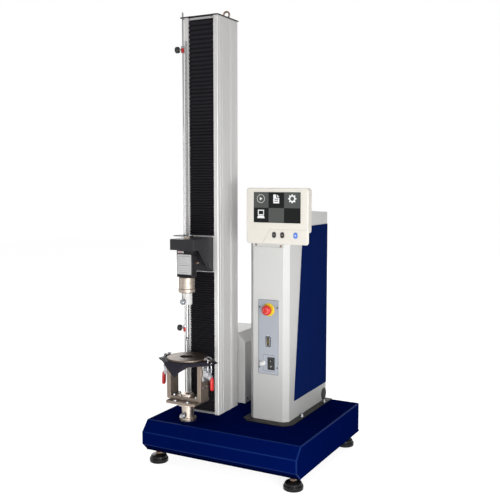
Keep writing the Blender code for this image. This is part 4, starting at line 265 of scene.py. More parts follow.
def finish(name, colour, roughness, size, depth, tone, metallic=0.0, texture=PEEL, swing=0.10,
           dust=0.0, wear=0.0, worn=None, centre=(0, 0, 0), stretch=(1, 1, 1), specular=0.5,
           darker=None, tint=(1, 1, 1)):
    """A Principled material: colour swings by tone between a darker and a lighter shade, the
    texture group gives bump, roughness swings with it, dust greys the upward faces and wear
    shows another colour on the edges. Constant values sit on the shader's own sockets."""
    made = bpy.data.materials.new(name)
    made.use_nodes = True
    tree = made.node_tree
    where = add_node(tree, "TexCoord").outputs["Object"]
    mapping = add_node(tree, "Mapping", ("Vector", where), ("Scale", stretch),
                       ("Location", tuple(-np.array(centre, float) * np.array(stretch))))
    height, wander = add_group(tree, texture, mapping.outputs[0], size)
    colour = np.array(colour, float)
    low = colour * (1 - tone) if darker is None else darker
    shade = mixed(tree, wander, low, np.minimum(colour * (1 + tone), 1))
    bare = np.minimum(colour * 1.6 + 0.05, 1) if worn is None else worn
    for effect, amount, shows in ((DUST, dust, (0.42, 0.41, 0.39)), (WEAR, wear, bare)):
        if amount:
            shade = mixed(tree, add_group(tree, effect, where, amount)[0], shade, shows)
    rough = add_node(tree, "MapRange", ("Value", wander), ("To Min", max(roughness - swing, 0.02)),
                     ("To Max", roughness + swing)).outputs[0]
    bump = add_node(tree, "Bump", ("Height", height), ("Distance", depth)).outputs[0]
    feed(tree, tree.nodes["Principled BSDF"], ("Base Color", shade), ("Metallic", metallic),
         ("Roughness", rough), ("Normal", bump), ("Specular IOR Level", specular),
         ("Specular Tint", (*tint, 1.0)))
    return made


# %% [markdown]
# ## The finishes of this machine
# Each finish has a short key, the record's slot, the CAD nodes that take it, the material's
# name, and its settings: colour, roughness, and the texture's size, depth and tone. Parts that
# can't be seen, such as the ball screw and the motor, keep their CAD solids. They still get a
# proper finish, because other views may show them.

# %% Make the finishes
AXIS_X, AXIS_Y = -0.1465, -0.1794       # the loading axis, where everything turned is centred
ON_AXIS = (AXIS_X, AXIS_Y, 0.0)
FINISH, SLOT = {}, {}


def stock(key, slot, used, name, *settings, **more):
    """Makes a finish and puts it in every material slot of the CAD nodes that use it."""
    FINISH[key] = finish(name, *settings, **more)
    if slot:
        SLOT[key] = slot
    for node in used.split():
        if not nodes[node].data.materials:
            nodes[node].data.materials.append(FINISH[key])
        for place in nodes[node].material_slots:
            place.material = FINISH[key]


stock("navy_powder", "navy_paint", "base_cover", "navy_powder_paint", (0.0003, 0.004, 0.053), 0.36, 1100,
      2e-5, 0.12, specular=0)
# A lighter navy with a blue sheen for the base cover's bends: a painted highlight along them.
stock("navy_bend_painted_highlight", None, "", "navy_paint_with_painted_bend_highlight", (0.004, 0.0145, 0.086), 0.34, 1100, 2e-5, 0.12,
      specular=0.04, tint=(0.11, 0.33, 1.0))
stock("navy_gloss", "navy_paint", "side_panel", "navy_panel_enamel", (0.0035, 0.011, 0.07), 0.36, 1300,
      1e-5, 0.08, specular=0)
stock("light_grey", "grey_paint", "tower_shell motor_cover", "light_grey_powder_paint",
      (0.515, 0.515, 0.503), 0.50, 1100, 3e-5, 0.03, dust=0.08)
# The drive cover's grey is the tower's light grey paint set much lighter: painted light for faces that sit
# in shade between the column and the tower.
stock("cover_grey_painted_light", "grey_paint", "", "light_grey_cover_painted_lighter", (0.78, 0.78, 0.765), 0.50, 1100, 3e-5,
      0.03, dust=0.08)
stock("cream", "cream_plastic", "display_housing", "cream_enamel", (0.625, 0.598, 0.542), 0.42, 1300,
      1.5e-5, 0.02, dust=0.06)
stock("anodised", "anodised_aluminium", "column_extrusion carriage", "satin_anodised_aluminium",
      (0.62, 0.615, 0.605), 0.42, 1400, 1e-5, 0.04, 0.35, LINES, stretch=(1, 1, 0.01))
stock("plinth", "black_rubber", "tower_plinth", "dark_grey_enamel", (0.012, 0.0112, 0.0115), 0.42, 1100,
      2e-5, 0.2, dust=0.05, specular=0.15)
stock("black_anodised", "black_paint", "column_top_plate crosshead_arm limit_actuator load_cell",
      "black_anodised", (0.019, 0.018, 0.0215), 0.42, 700, 1.2e-5, 0.2, texture=LINES,
      stretch=(1, 0.05, 1), dust=0.03, wear=0.35, specular=0.22)
stock("black_plastic", "black_plastic", "power_rocker display_button_left display_button_middle drive_motor",
      "black_moulded_plastic", (0.011, 0.011, 0.012), 0.46, 1500, 2e-5, 0.2, dust=0.08)
stock("rubber", "black_rubber", "levelling_foot_front_left levelling_foot_front_right "
      "levelling_foot_rear_left levelling_foot_rear_right cable_plug", "black_rubber",
      (0.013, 0.013, 0.013), 0.72, 1200, 4e-5, 0.25, dust=0.25)
stock("bellows", "bellows_cloth", "bellows_upper bellows_lower", "black_coated_cloth",
      (0.0125, 0.0118, 0.015), 0.66, 1800, 3e-5, 0.2, specular=0.10)
stock("nickel", "nickel_steel", "upper_coupling coupling_ring fixture_stem base_lock_ring clamp_ring",
      "satin_nickel", (0.54, 0.465, 0.405), 0.34, 2600, 8e-6, 0.12, 1.0, RINGS, swing=0.08,
      centre=ON_AXIS, wear=0.3, darker=(0.42, 0.36, 0.31))
stock("nickel_plate", "nickel_steel", "fixture_base_plate fixture_frame", "milled_nickel_plate",
      (0.262, 0.213, 0.176), 0.46, 420, 8e-6, 0.14, 0.9, LINES, stretch=(1, 0.06, 1), wear=0.3)
stock("chrome", "bright_steel", "puncture_probe", "polished_steel", (0.31, 0.31, 0.312), 0.40, 3000,
      3e-6, 0.05, 1.0, RINGS, swing=0.04, centre=ON_AXIS)
stock("zinc", "bright_steel", "latch_base_left latch_base_right latch_handle_left latch_handle_right "
      "latch_hook_left latch_hook_right", "bright_zinc_plate", (0.50, 0.51, 0.53), 0.38, 900, 6e-6, 0.12,
      1.0, LINES, wear=0.2)
stock("brown_steel", "bright_steel", "eye_bolt", "bronzed_steel_screw", (0.27, 0.20, 0.155), 0.34, 2600,
      6e-6, 0.2, 1.0, RINGS)
stock("white_plastic", "white_plastic", "probe_sleeve", "white_acetal", (0.525, 0.52, 0.51), 0.60, 1500,
      1e-5, 0.02)
stock("blue_grey", "bright_steel", "sleeve_pin fixture_pin", "blue_grey_anodised", (0.34, 0.355, 0.385),
      0.28, 2500, 6e-6, 0.1, 0.9, RINGS)
stock("red_collar", "red_metal", "stop_collar_upper stop_collar_lower", "red_anodised",
      (0.36, 0.012, 0.01), 0.40, 2500, 8e-6, 0.12, 0.25, RINGS)
stock("red_vinyl", "red_plastic", "", "red_dipped_vinyl", (0.46, 0.013, 0.013), 0.36, 500, 5e-5, 0.12)
stock("red_button", "red_plastic", "estop_button", "red_moulded_plastic", (0.50, 0.015, 0.011), 0.42,
      1200, 1e-5, 0.05)
stock("yellow", "yellow_plastic", "estop_collar", "yellow_moulded_plastic", (0.66, 0.47, 0.012), 0.40,
      1200, 1e-5, 0.06)
stock("control_plate", "panel_film", "control_plate", "brushed_aluminium_plate", (0.32, 0.342, 0.382),
      0.42, 900, 8e-6, 0.05, 0.35, LINES, stretch=(0.03, 1, 1))
stock("scale", "white_scale", "scale_strip", "white_printed_steel", (0.33, 0.33, 0.33), 0.40, 1200,
      6e-6, 0.04)
stock("ink", None, "", "black_ink", (0.02, 0.02, 0.022), 0.55, 900, 5e-6, 0.2)
stock("sheet", "specimen_film", "specimen_sheet", "dark_plastic_film", (0.015, 0.0132, 0.02), 0.44, 260,
      8e-5, 0.12, specular=0.12)
stock("screen", "screen_glass", "display_screen", "dark_display_glass", (0.01, 0.01, 0.012), 0.12, 300,
      2e-6, 0.1)
stock("steel", "bright_steel", "limit_rod ball_screw guide_rail", "bright_drawn_steel",
      (0.36, 0.36, 0.365), 0.32, 900, 6e-6, 0.1, 1.0, LINES, stretch=(1, 1, 0.02))
stock("frame_steel", None, "base_frame", "grey_primed_steel", (0.11, 0.112, 0.115), 0.55, 800, 3e-5,
      0.15, 0.2, dust=0.2)
stock("belt", None, "timing_belt", "black_belt_rubber", (0.015, 0.015, 0.016), 0.7, 1400, 3e-5, 0.2)
stock("white_button", "white_plastic", "speed_knob", "white_moulded_plastic", (0.56, 0.56, 0.555), 0.42,
      1300, 1e-5, 0.03)
stock("blue_button", "blue_plastic", "display_button_right", "blue_moulded_plastic", (0.06, 0.17, 0.62),
      0.35, 1300, 1e-5, 0.05)
stock("anodised_block", None, "top_bearing_block bottom_bearing_block motor_pulley screw_pulley",
      "milled_aluminium_block", (0.55, 0.55, 0.56), 0.34, 600, 8e-6, 0.08, 0.8, LINES,
      stretch=(0.05, 1, 1))
print("finishes:", len(FINISH))


# %% [markdown]
# ## Surfaces from numbers
# Almost every part of a machine like this is a flat outline with thickness, a turned shape, or a
# bar that follows a path. Each is one function of two parameters: how far along, and how far
# round. Working on whole arrays keeps the formulas visible, and the same few helpers then
# make housings, knobs and wires.

# %% Outlines and grids
def mm(*rows):
    """Rows of numbers in millimetres, as metres."""
    return np.array(rows, float) / 1000


def skin(grid, wrap_rows=False, wrap_columns=True):
    """Faces of a grid of points: face (i, j) joins rows i and i + 1 with columns j and j + 1.
    A wrapped direction joins its last line to its first, and open end rows get one face each."""
    rows, columns = grid.shape[:2]
    i, j = np.meshgrid(np.arange(rows - (not wrap_rows)), np.arange(columns - (not wrap_columns)),
                       indexing="ij")
    below, beside = (i + 1) % rows, (j + 1) % columns
    faces = np.stack([i * columns + j, i * columns + beside, below * columns + beside,
                      below * columns + j], -1).reshape(-1, 4).tolist()
    if wrap_columns and not wrap_rows:
        faces += [list(range(columns)), list(range((rows - 1) * columns, rows * columns))]
    return grid.reshape(-1, 3), faces


def eased(corners, radius, steps=4, closed=True):
    """A line whose corners become arcs: an arc starts radius / tan(half the corner's angle)
    before the corner, and turns about the point that lies that radius from both sides."""
    corners = np.asarray(corners, float)
    before, after = np.roll(corners, 1, 0) - corners, np.roll(corners, -1, 0) - corners
    before /= np.linalg.norm(before, axis=1)[:, None]
    after /= np.linalg.norm(after, axis=1)[:, None]
    radius = np.broadcast_to(np.asarray(radius, float), len(corners))[:, None]
    half = (np.arccos(np.clip((before * after).sum(1), -1, 1)) / 2)[:, None]
    middle = before + after
    middle /= np.linalg.norm(middle, axis=1)[:, None]
    centre = corners + middle * radius / np.sin(half)
    start = corners + before * radius / np.tan(half) - centre
    end = corners + after * radius / np.tan(half) - centre
    turn, share = np.pi - 2 * half, np.linspace(0, 1, steps + 1)[:, None, None]
    arcs = centre + (np.sin((1 - share) * turn) * start + np.sin(share * turn) * end) / np.sin(turn)
    arcs = arcs.transpose(1, 0, 2)
    if closed:
        return arcs.reshape(-1, corners.shape[1])
    return np.concatenate([corners[:1], arcs[1:-1].reshape(-1, corners.shape[1]), corners[-1:]])


def inset(outline, distance):
    """Each point moves inwards so that both of its sides move by the distance (a mitre)."""
    outline = np.asarray(outline, float)
    ahead = np.roll(outline, -1, 0)
    area = (outline[:, 0] * ahead[:, 1] - ahead[:, 0] * outline[:, 1]).sum()
    side = ahead - outline
    side /= np.linalg.norm(side, axis=1)[:, None]
    inward = np.stack([-side[:, 1], side[:, 0]], 1) * np.sign(area)
    last = np.roll(inward, 1, 0)
    return outline + distance * (inward + last) / (1 + (inward * last).sum(1))[:, None]


def oblong(width, height, centre=(0.0, 0.0)):
    """The four corners of a rectangle, counterclockwise."""
    return np.array([[-1, -1], [1, -1], [1, 1], [-1, 1]]) * (width / 2, height / 2) + centre


def round_hole(radius, centre=(0.0, 0.0), steps=32):
    """Points on a circle."""
    angle = np.linspace(0, 2 * np.pi, steps, endpoint=False)
    return np.stack([np.cos(angle), np.sin(angle)], 1) * radius + centre


def rim(thickness, edge=0.0005, steps=3):
    """How a plate's wall runs: rows of (inset, height), a quarter round at each end."""
    q = np.linspace(0, np.pi / 2, steps + 1)
    low = np.stack([edge * (1 - np.sin(q)), edge * (1 - np.cos(q))], 1)
    high = np.stack([edge * (1 - np.cos(q)), thickness - edge * (1 - np.sin(q))], 1)
    return np.concatenate([low, high])


def plate(loops, wall):
    """A solid between two flat faces: every outline is carried up the wall's rows, moving in by
    each row's inset (out, for a hole), and the faces are filled between the outlines."""
    points, faces, start, ends = [], [], 0, ([], [])
    wall = wall if isinstance(wall, np.ndarray) else rim(wall)
    for number, loop in enumerate(loops):
        rows = np.stack([np.column_stack([inset(loop, -step if number else step),
                                          np.full(len(loop), height)]) for step, height in wall])
        grid_points, grid_faces = skin(rows)
        points.append(grid_points)
        faces += [[start + k for k in face] for face in grid_faces[:-2]]
        for end, row in ((0, 0), (1, len(wall) - 1)):
            ends[end].append((rows[row], start + row * len(loop) + np.arange(len(loop))))
        start += len(grid_points)
    for end in ends:
        index = np.concatenate([numbers for _, numbers in end])
        filled = tessellate_polygon([[tuple(p) for p in loop] for loop, _ in end])
        faces += [[int(index[k]) for k in face] for face in filled]
    return np.concatenate(points), faces


def turned(profile, steps=48, ring=False):
    """A lathe surface: point (i, j) is (r cos a, r sin a, z), with (r, z) from row i of the
    profile and the angle a from column j. A ring's profile closes on itself."""
    profile = np.asarray(profile, float)
    angle = np.linspace(0, 2 * np.pi, steps, endpoint=False)
    grid = np.stack([np.outer(profile[:, 0], np.cos(angle)), np.outer(profile[:, 0], np.sin(angle)),
                     np.outer(profile[:, 1], np.ones(steps))], -1)
    return skin(grid, wrap_rows=ring)


def bar(path, radius, sides=12, reference=(0.0, 0.0, 1.0), closed=False):
    """A round bar along a path: its circle lies on the reference direction, less its share
    along the path's slope, and on the cross product of the two."""
    path, reference = np.asarray(path, float), np.asarray(reference, float)
    slope = np.roll(path, -1, 0) - np.roll(path, 1, 0) if closed else np.gradient(path, axis=0)
    slope /= np.linalg.norm(slope, axis=1)[:, None]
    normal = reference - (slope @ reference)[:, None] * slope
    normal /= np.linalg.norm(normal, axis=1)[:, None]
    across = np.cross(slope, normal)
    angle = np.linspace(0, 2 * np.pi, sides, endpoint=False)[None, :, None]
    radius = np.broadcast_to(np.asarray(radius, float), len(path))[:, None, None]
    grid = path[:, None] + radius * (np.cos(angle) * normal[:, None] + np.sin(angle) * across[:, None])
    return skin(grid, wrap_rows=closed)


# %% Where a shape goes, and how it becomes a piece
UP = np.eye(3)
FRONT = np.array([[1, 0, 0], [0, 0, 1], [0, -1, 0]], float)    # local x, y, z as rows
RIGHT = np.array([[0, 1, 0], [0, 0, 1], [1, 0, 0]], float)
LEFT = np.array([[0, -1, 0], [0, 0, 1], [-1, 0, 0]], float)
REAR = np.array([[-1, 0, 0], [0, 0, 1], [0, 1, 0]], float)
INTO = np.array([[1, 0, 0], [0, 0, 1], [0, 1, 0]], float)      # a mirror; piece turns the faces out
MADE = {}


def placed(shape, at=(0.0, 0.0, 0.0), facing=UP):
    """The shape's own x, y and z run along the rows of facing, from the place."""
    return shape[0] @ facing + np.asarray(at, float), shape[1]


def level_normals(mesh, sharp):
    """Gives each corner the mean normal, weighted by area, of the faces round its vertex that
    lie within the sharp angle of its own face. Flats stay flat, and only the rounds bend the
    light, as they do on pressed sheet and milled edges."""
    corners, faces = len(mesh.loops), len(mesh.polygons)
    vertex, total = np.empty(corners, int), np.empty(faces, int)
    normal, area = np.empty(faces * 3), np.empty(faces)
    mesh.loops.foreach_get("vertex_index", vertex)
    mesh.polygons.foreach_get("loop_total", total)
    mesh.polygons.foreach_get("normal", normal)
    mesh.polygons.foreach_get("area", area)
    order = np.argsort(vertex, kind="stable")
    face = np.repeat(np.arange(faces), total)[order]
    vertex, normal = vertex[order], normal.reshape(-1, 3)[face]
    weighted = normal * area[face][:, None]
    mean, limit = weighted.copy(), math.cos(math.radians(sharp))
    for step in range(1, 64):
        near = (vertex[step:] == vertex[:-step])
        if not near.any():
            break
        near &= (normal[step:] * normal[:-step]).sum(1) > limit
        mean[step:][near] += weighted[:-step][near]
        mean[:-step][near] += weighted[step:][near]
    mean /= np.maximum(np.linalg.norm(mean, axis=1), 1e-20)[:, None]
    corner_normals = np.empty((corners, 3))
    corner_normals[order] = mean
    mesh.normals_split_custom_set(corner_normals.tolist())


def piece(name, key, body, shapes, replaced=(), sharp=30, doubles=1e-6):
    """Welds each shape, turns its faces outwards, joins them as one mesh, smooths all but the
    edges over the sharp angle, parents it to its body's empty and hides the CAD nodes it stands for."""
    joined = bmesh.new()
    for points, faces in shapes:
        shape = bpy.data.meshes.new("shape")
        shape.from_pydata(points.tolist(), [], faces)
        single = bmesh.new()
        single.from_mesh(shape)
        if doubles:
            bmesh.ops.remove_doubles(single, verts=single.verts, dist=doubles)
        bmesh.ops.recalc_face_normals(single, faces=single.faces)
        single.to_mesh(shape)
        single.free()
        joined.from_mesh(shape)
        bpy.data.meshes.remove(shape)
    mesh = bpy.data.meshes.new(name)
    joined.to_mesh(mesh)
    joined.free()
    mesh.shade_smooth()
    mesh.set_sharp_from_angle(angle=math.radians(sharp))
    level_normals(mesh, sharp)
    made = bpy.data.objects.new(name, mesh)
    bpy.context.scene.collection.objects.link(made)
    mesh.materials.append(FINISH[key])
    if body:
        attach(made, body)
    if replaced:
        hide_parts(*replaced)
    MADE[name] = len(mesh.polygons)
    return made


def corners_of(node):
    """The lowest and highest corner of a CAD node, as arrays."""
    low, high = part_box(node)
    return np.array(low), np.array(high)


def lathe(profile, radius, steps, around, ring=False):
    """A turned shape whose profile has its corners eased first."""
    return turned(eased(profile, radius, steps, ring), around, ring)


def hoop(inner, outer, low, high, edge, steps, around):
    """A ring of rectangular section, with its edges eased."""
    return lathe([(inner, low), (outer, low), (outer, high), (inner, high)], edge, steps, around, True)


def cut(loops, thickness, edge, at=(0.0, 0.0, 0.0), facing=UP):
    """A plate put in its place."""
    return placed(plate(loops, rim(thickness, edge)), at, facing)


def slab(corners, radius, thickness, edge, at, facing, holes=()):
    """A flat part: its outline's corners are rounded, then it gets its thickness and edges."""
    return cut([eased(corners, radius, 4), *holes], thickness, edge, at, facing)


def rectangle(x0, y0, x1, y1):
    """Four corners, anticlockwise."""
    return [(x0, y0), (x1, y0), (x1, y1), (x0, y1)]


def copies(name, key, body, shape, spots, facing=UP):
    """One piece made of the same shape at several places."""
    return piece(name, key, body, [placed(shape, spot, facing) for spot in spots])


def open_below(shape, height):
    """A shape without the faces that lie no higher than this."""
    points, faces = shape
    return points, [face for face in faces if points[face][:, 2].max() > height]


def thicken(folded, thickness):
    """Gives a folded sheet its thickness, inwards."""
    wall = folded.modifiers.new("sheet", "SOLIDIFY")
    wall.thickness, wall.offset = thickness, -1.0


print("helpers ready: plate, turned, bar")

# %% [markdown]
# ## The base cover
# The base is a box folded from sheet steel and painted navy, open underneath, with a long
# slanted face along the front. Its side view is drawn once, with the bends as small arcs, and
# carried across the width. The bottom is left out and the sheet gets its thickness inwards, so
# the frame and the feet show from below as they would on the real machine.

# %% Base cover
low, high = corners_of("base_cover")
side_view = eased([(low[1] + 0.027, low[2]), (high[1], low[2]), (high[1], high[2]),
                   (low[1] + 0.030, high[2]), (low[1], high[2] - 0.033), (low[1], low[2] + 0.026)],
                  (0.0005, 0.0005, 0.004, 0.005, 0.005, 0.004), 5)
box = placed(plate([side_view], rim(high[0] - low[0], 0.0035, 4)), (low[0], 0, 0), RIGHT)
cover = piece("base_cover_folded", "navy_powder", "machine", [open_below(box, low[2] + 0.0006)],
              ["base_cover"])


def paint_bend_highlights(thing, key, narrow=0.0025):
    """Gives the narrow strips that make up a sheet's bends a lighter, slightly glossy navy of their
    own: a painted highlight along each bend, where the flats beside it stay dark."""
    thing.data.materials.append(FINISH[key])
    for polygon in thing.data.polygons:
        corners = np.array([thing.data.vertices[k].co for k in polygon.vertices])
        longest = np.linalg.norm(corners - np.roll(corners, 1, 0), axis=1).max()
        slanted = max(abs(polygon.normal.x), abs(polygon.normal.y), abs(polygon.normal.z)) < 0.9995
        polygon.material_index = int(slanted and polygon.area < longest * narrow)


# The bends take the lighter navy: painted highlights along the folds.
paint_bend_highlights(cover, "navy_bend_painted_highlight")
thicken(cover, 0.0018)
print("base cover", np.round(high - low, 3), "with", MADE["base_cover_folded"], "faces")

# %% [markdown]
# ## Levelling feet
# Each foot is a moulded rubber pad round a steel disc, on a threaded stem with a lock nut. The
# pad and the thread are turned shapes; the thread is a row of small ridges, which looks the
# same as a helix at this size.

# %% Levelling feet
stock("foot_black", "black_rubber", "", "polished_black_rubber", (0.004, 0.004, 0.0045), 0.30, 1400,
      1e-5, 0.2, specular=0.22)


def hexagon_outline(across_flats):
    """Six corners, counterclockwise."""
    angle = np.arange(6) * np.pi / 3
    return np.stack([np.cos(angle), np.sin(angle)], 1) * across_flats / math.sqrt(3)


def hexagon(across_flats, height, chamfer=0.0008):
    """A nut's outside: six sides, with the rims rounded."""
    return plate([hexagon_outline(across_flats)], rim(height, chamfer))


def threaded(crest, root, turns, start, around):
    """A threaded rod as a row of ridges, half a millimetre from each crest to the next root."""
    turn = np.arange(turns)
    rows = np.column_stack([np.where(turn % 2, crest, root), start + turn * 0.0005])
    return turned(np.vstack([[(0.0, start)], rows, [(0.0, rows[-1, 1])]]), around)


pad = lathe(mm((0, 0), (28.5, 0), (30, 2.2), (30, 11.2), (28.8, 13.6), (26.4, 14.2), (25.8, 19.6),
               (23.2, 22.8), (13, 24), (0, 24)), 0.0008, 4, 64)
stem = threaded(0.0080, 0.0071, 34, 0.024, 32)
nut = placed(hexagon(0.019, 0.006), (0, 0, 0.0262))
for label in ("front_left", "front_right", "rear_left", "rear_right"):
    node = "levelling_foot_" + label
    low, high = corners_of(node)
    middle = (*((low + high) / 2)[:2], low[2])
    piece("foot_pad_" + label, "foot_black", "machine", [placed(pad, middle)], [node])
    piece("foot_stem_" + label, "brown_steel", "machine", [placed(stem, middle), placed(nut, middle)])
print("four feet, 60 mm pads")

# %% [markdown]
# ## The column
# The column is one aluminium extrusion. Its section is a C that is open at the front, where the
# bellows close it, and narrow grooves run up both sides. The section is worked out in plan, and
# carried from the base to the top. Every corner is slightly rounded, because a die can't make a
# sharp one, and those small rounds are what catch the light as thin vertical lines.

# %% Column
COLUMN_X, COLUMN_FRONT, DECK, COLUMN_TOP = -0.1465, -0.0894, 0.1393, 1.4138
WINDOW, LIP, CAVITY, DEPTH, HALF, GROOVE = 0.093, 0.018, 0.108, 0.13, 0.062, 0.0016
side = [(WINDOW / 2, 0.0), (HALF - 0.0002, 0.0)]
for start, width in mm((12.5, 3), (27.5, 2.2), (77.5, 2.2), (84.5, 2.2), (115, 2.2)):
    side += [(HALF, start), (HALF - GROOVE, start + 0.0004), (HALF - GROOVE, start + width - 0.0004),
             (HALF, start + width)]
side = np.array(side + [(HALF - 0.0002, DEPTH)])
inner = np.array([(CAVITY / 2, DEPTH - 0.012), (CAVITY / 2, LIP), (WINDOW / 2, LIP)])
section = np.concatenate([side, side[::-1] * (-1, 1), inner[::-1] * (-1, 1), inner])
soft = np.full(len(section), 0.00035)
soft[[1, len(side) - 1, len(side), 2 * len(side) - 2]] = 0.0028
column = plate([eased(section, soft, 4)], rim(COLUMN_TOP - DECK, 0.0004, 2))
piece("column_extruded", "anodised", "machine", [placed(column, (COLUMN_X, COLUMN_FRONT, DECK))],
      ["column_extrusion"])
print("column section of", len(section), "corners,", round(COLUMN_TOP - DECK, 3), "m high")

# %% [markdown]
# ## The drive cover and the control tower
# Both are folded from steel sheet and powder-coated light grey. In plan the tower is a box with
# its two front corners cut at 45 degrees, and its roof falls a little to the rear. The plan is
# carried up with a small round at the roof, and the points near the top are lowered in
# proportion to how far back they are, which tilts the roof without bending the walls.

# %% Drive cover and tower
def folded_box(plan, height, fall):
    """The plan carried up as walls with a rounded roof; a point at share s of the height drops
    by s to the eighth, times its depth, times the fall."""
    points, faces = plate([plan], np.concatenate([[(0.0, 0.0)], rim(height, 0.002, 3)[4:]]))
    points[:, 2] -= (points[:, 2] / height) ** 8 * (points[:, 1] - plan[:, 1].min()) * fall
    return open_below((points, faces), 1e-5)


low, high = corners_of("motor_cover")
left, right, foot, top, ridge = low[0], high[0], low[2], high[2], 0.030
cover_view = eased([(left, foot), (right, foot), (right, top - ridge), (right - ridge, top),
                    (left + ridge, top), (left, top - ridge)], [0.0005] * 2 + [0.003] * 4, 4)
deep = placed(plate([cover_view], rim(high[1] - low[1], 0.0025, 3)), (0, low[1], 0), INTO)
# The drive cover takes the lighter grey: painted light on its shaded faces.
thicken(piece("drive_cover_folded", "cover_grey_painted_light", "machine", [open_below(deep, foot + 0.0006)],
              ["motor_cover"]), 0.0015)
rear_screws = [(x, high[1], z) for x in (left + 0.01, right - 0.01) for z in (foot + 0.02, foot + 0.185)]

low, high = corners_of("tower_shell")
TOWER_FRONT, cut_corner = low[1], 0.016
plan = eased([(low[0] + cut_corner, low[1]), (high[0] - cut_corner, low[1]),
              (high[0], low[1] + cut_corner), (high[0], high[1]), (low[0], high[1]),
              (low[0], low[1] + cut_corner)], (0.0022, 0.0022, 0.0022, 0.003, 0.003, 0.0022), 4)
shell = folded_box(plan, high[2] - low[2], 0.018 / 0.318)
thicken(piece("tower_folded_shell", "light_grey", "machine", [placed(shell, (0, 0, low[2]))],
              ["tower_shell"]), 0.0015)
print("tower", np.round(high - low, 3), "m")


# %% [markdown]
# ## Screws
# Small screws are what gives a folded housing its scale. A cap screw is a turned head with a
# hexagon socket, and a pan head has a cross recess. The recess is real geometry: the head's top
# is filled round the outline of the recess, and the recess has its own walls and floor.

# %% Screw heads
def cross_outline(reach, arm):
    """The outline of a cross, counterclockwise: twelve corners."""
    quarters = [np.array([(reach, -arm), (reach, arm), (arm, arm)])]
    for _ in range(3):
        quarters.append(quarters[-1] @ np.array([(0, 1), (-1, 0)]))
    return np.concatenate(quarters)


def finer(corners, steps):
    """Extra points on each side of a recess, so that the round head stays round."""
    share = np.linspace(0, 1, steps, endpoint=False)[:, None]
    return (corners[:, None] * (1 - share) + np.roll(corners, -1, 0)[:, None] * share).reshape(-1, 2)


def screw_head(radius, height, recess, dome):
    """A round head with a recess: outer wall, domed rim, a flat ring to the recess's outline,
    and the recess's wall and floor, all as one closed surface."""
    angle = np.arctan2(*recess.T[::-1])
    order = np.argsort(angle)
    recess, angle = recess[order], angle[order]
    ring = np.stack([np.cos(angle), np.sin(angle)], 1)
    rows = [(1, 0), (1, 1 - dome), *((0.90 - 0.05 * k, 1 - dome + dome * (k + 1) / 3) for k in range(3))]
    grid = [(ring * radius * share, level) for share, level in rows] + [(recess, 1), (recess * 0.94, 0.45)]
    return skin(np.stack([np.column_stack([flat, np.full(len(ring), height * level)])
                          for flat, level in grid]))


def pan_screw(radius, height):
    """A cross-head screw."""
    return screw_head(radius, height, finer(cross_outline(radius * 0.56, radius * 0.15), 4), 0.5)


def cap_screw(radius, height):
    """A socket cap screw."""
    return screw_head(radius, height, finer(hexagon_outline(radius * 0.98), 5), 0.12)


cover_screw = pan_screw(0.0035, 0.0016)
copies("drive_cover_screws", "brown_steel", "machine", cover_screw, rear_screws, REAR)
copies("drive_cover_side_screws", "brown_steel", "machine", cover_screw,
       [(-0.0725, y, 0.153) for y in (0.085, 0.228)], RIGHT)
print("screw head faces:", len(cover_screw[1]))

# %% [markdown]
# ## Plinth, side panel and cable plug
# The tower stands on a dark plate that is bolted to the base. A navy panel with a slanted front
# edge covers most of its right side, and a rubber plug closes the cable hole below it.

# %% Plinth, panel and plug
low, high = corners_of("tower_plinth")
low[0] += 0.006                         # the left lip is narrow, to clear the column
plinth = eased([(low[0] + 0.024, low[1]), (high[0] - 0.024, low[1]), (high[0], low[1] + 0.024),
                (high[0], high[1]), (low[0], high[1]), (low[0], low[1] + 0.024)], 0.003, 3)
piece("tower_plinth_plate", "plinth", "machine",
      [cut([plinth], high[2] - low[2], 0.0007, (0, 0, low[2]))], ["tower_plinth"])
bolts = [(x, y, high[2]) for x in (high[0] - 0.0097, low[0] + 0.0098) for y in (0.019, 0.206)]
washer = turned(mm((3, 0), (6.8, 0), (6.8, 0.9), (3, 0.9)), 28, True)
piece("plinth_bolts", "zinc", "machine",
      [placed(part, spot) for part in (cap_screw(0.0048, 0.0085), washer) for spot in bolts])

low, high = corners_of("side_panel")
foot, top, rear = 0.2006, 0.7536, 0.247
panel = eased([(rear - 0.265, foot), (rear, foot), (rear, top), (rear - 0.203, top)], 0.0025, 4)
piece("tower_side_panel", "navy_gloss", "machine", [cut([panel], 0.0015, 0.0005, (low[0], 0, 0), RIGHT)],
      ["side_panel"])
plug = lathe(mm((0, 3), (9.5, 3), (12.5, 2.1), (15, 3), (18.2, 2.7), (20, 1), (20, 0), (15, 0),
                (15, -6), (0, -6)), 0.0005, 3, 56)
piece("cable_hole_plug", "rubber", "machine", [placed(plug, (low[0], 0.227, 0.1641), RIGHT)],
      ["cable_plug"])
print("plinth with", len(bolts), "bolts")

# %% [markdown]
# ## The control plate
# A brushed aluminium plate on the tower's front carries the emergency stop, a data socket, the
# power rocker and a small white knob. A thin dark line frames the rocker, as such plates have
# it printed. The rocker is the standard kind, with a line and a circle for on and off.

# %% Control plate
PLATE_AT, PLATE_T = np.array([0.0850, TOWER_FRONT - 0.0003, 0.4105]), 0.002
ESTOP_AT, SOCKET_AT, ROCKER_AT, KNOB_AT = mm((1, 87.5), (-0.4, -14), (10.2, -83.5), (-18.5, -83.8))


def on_plate(shape, spot=(0, 0), proud=0.0):
    """Puts a shape on the control plate's face, at a place from its centre."""
    return placed(shape, PLATE_AT + (spot[0], -PLATE_T - proud, spot[1]), FRONT)


holes = [round_hole(0.0100, ESTOP_AT, 40), eased(oblong(0.0200, 0.0340, ROCKER_AT), 0.0006, 2),
         round_hole(0.0034, KNOB_AT, 24)]
piece("control_plate_board", "control_plate", "machine",
      [cut([eased(oblong(0.070, 0.237), 0.0022, 3), *holes], PLATE_T, 0.0004, PLATE_AT, FRONT)],
      ["control_plate"])
corner_screws = mm((-31, 94.5), (31, 95.1), (-31, -98.2), (31, -95.1))
piece("control_plate_screws", "ink", "machine",
      [on_plate(pan_screw(0.0025, 0.0012), spot) for spot in corner_screws])


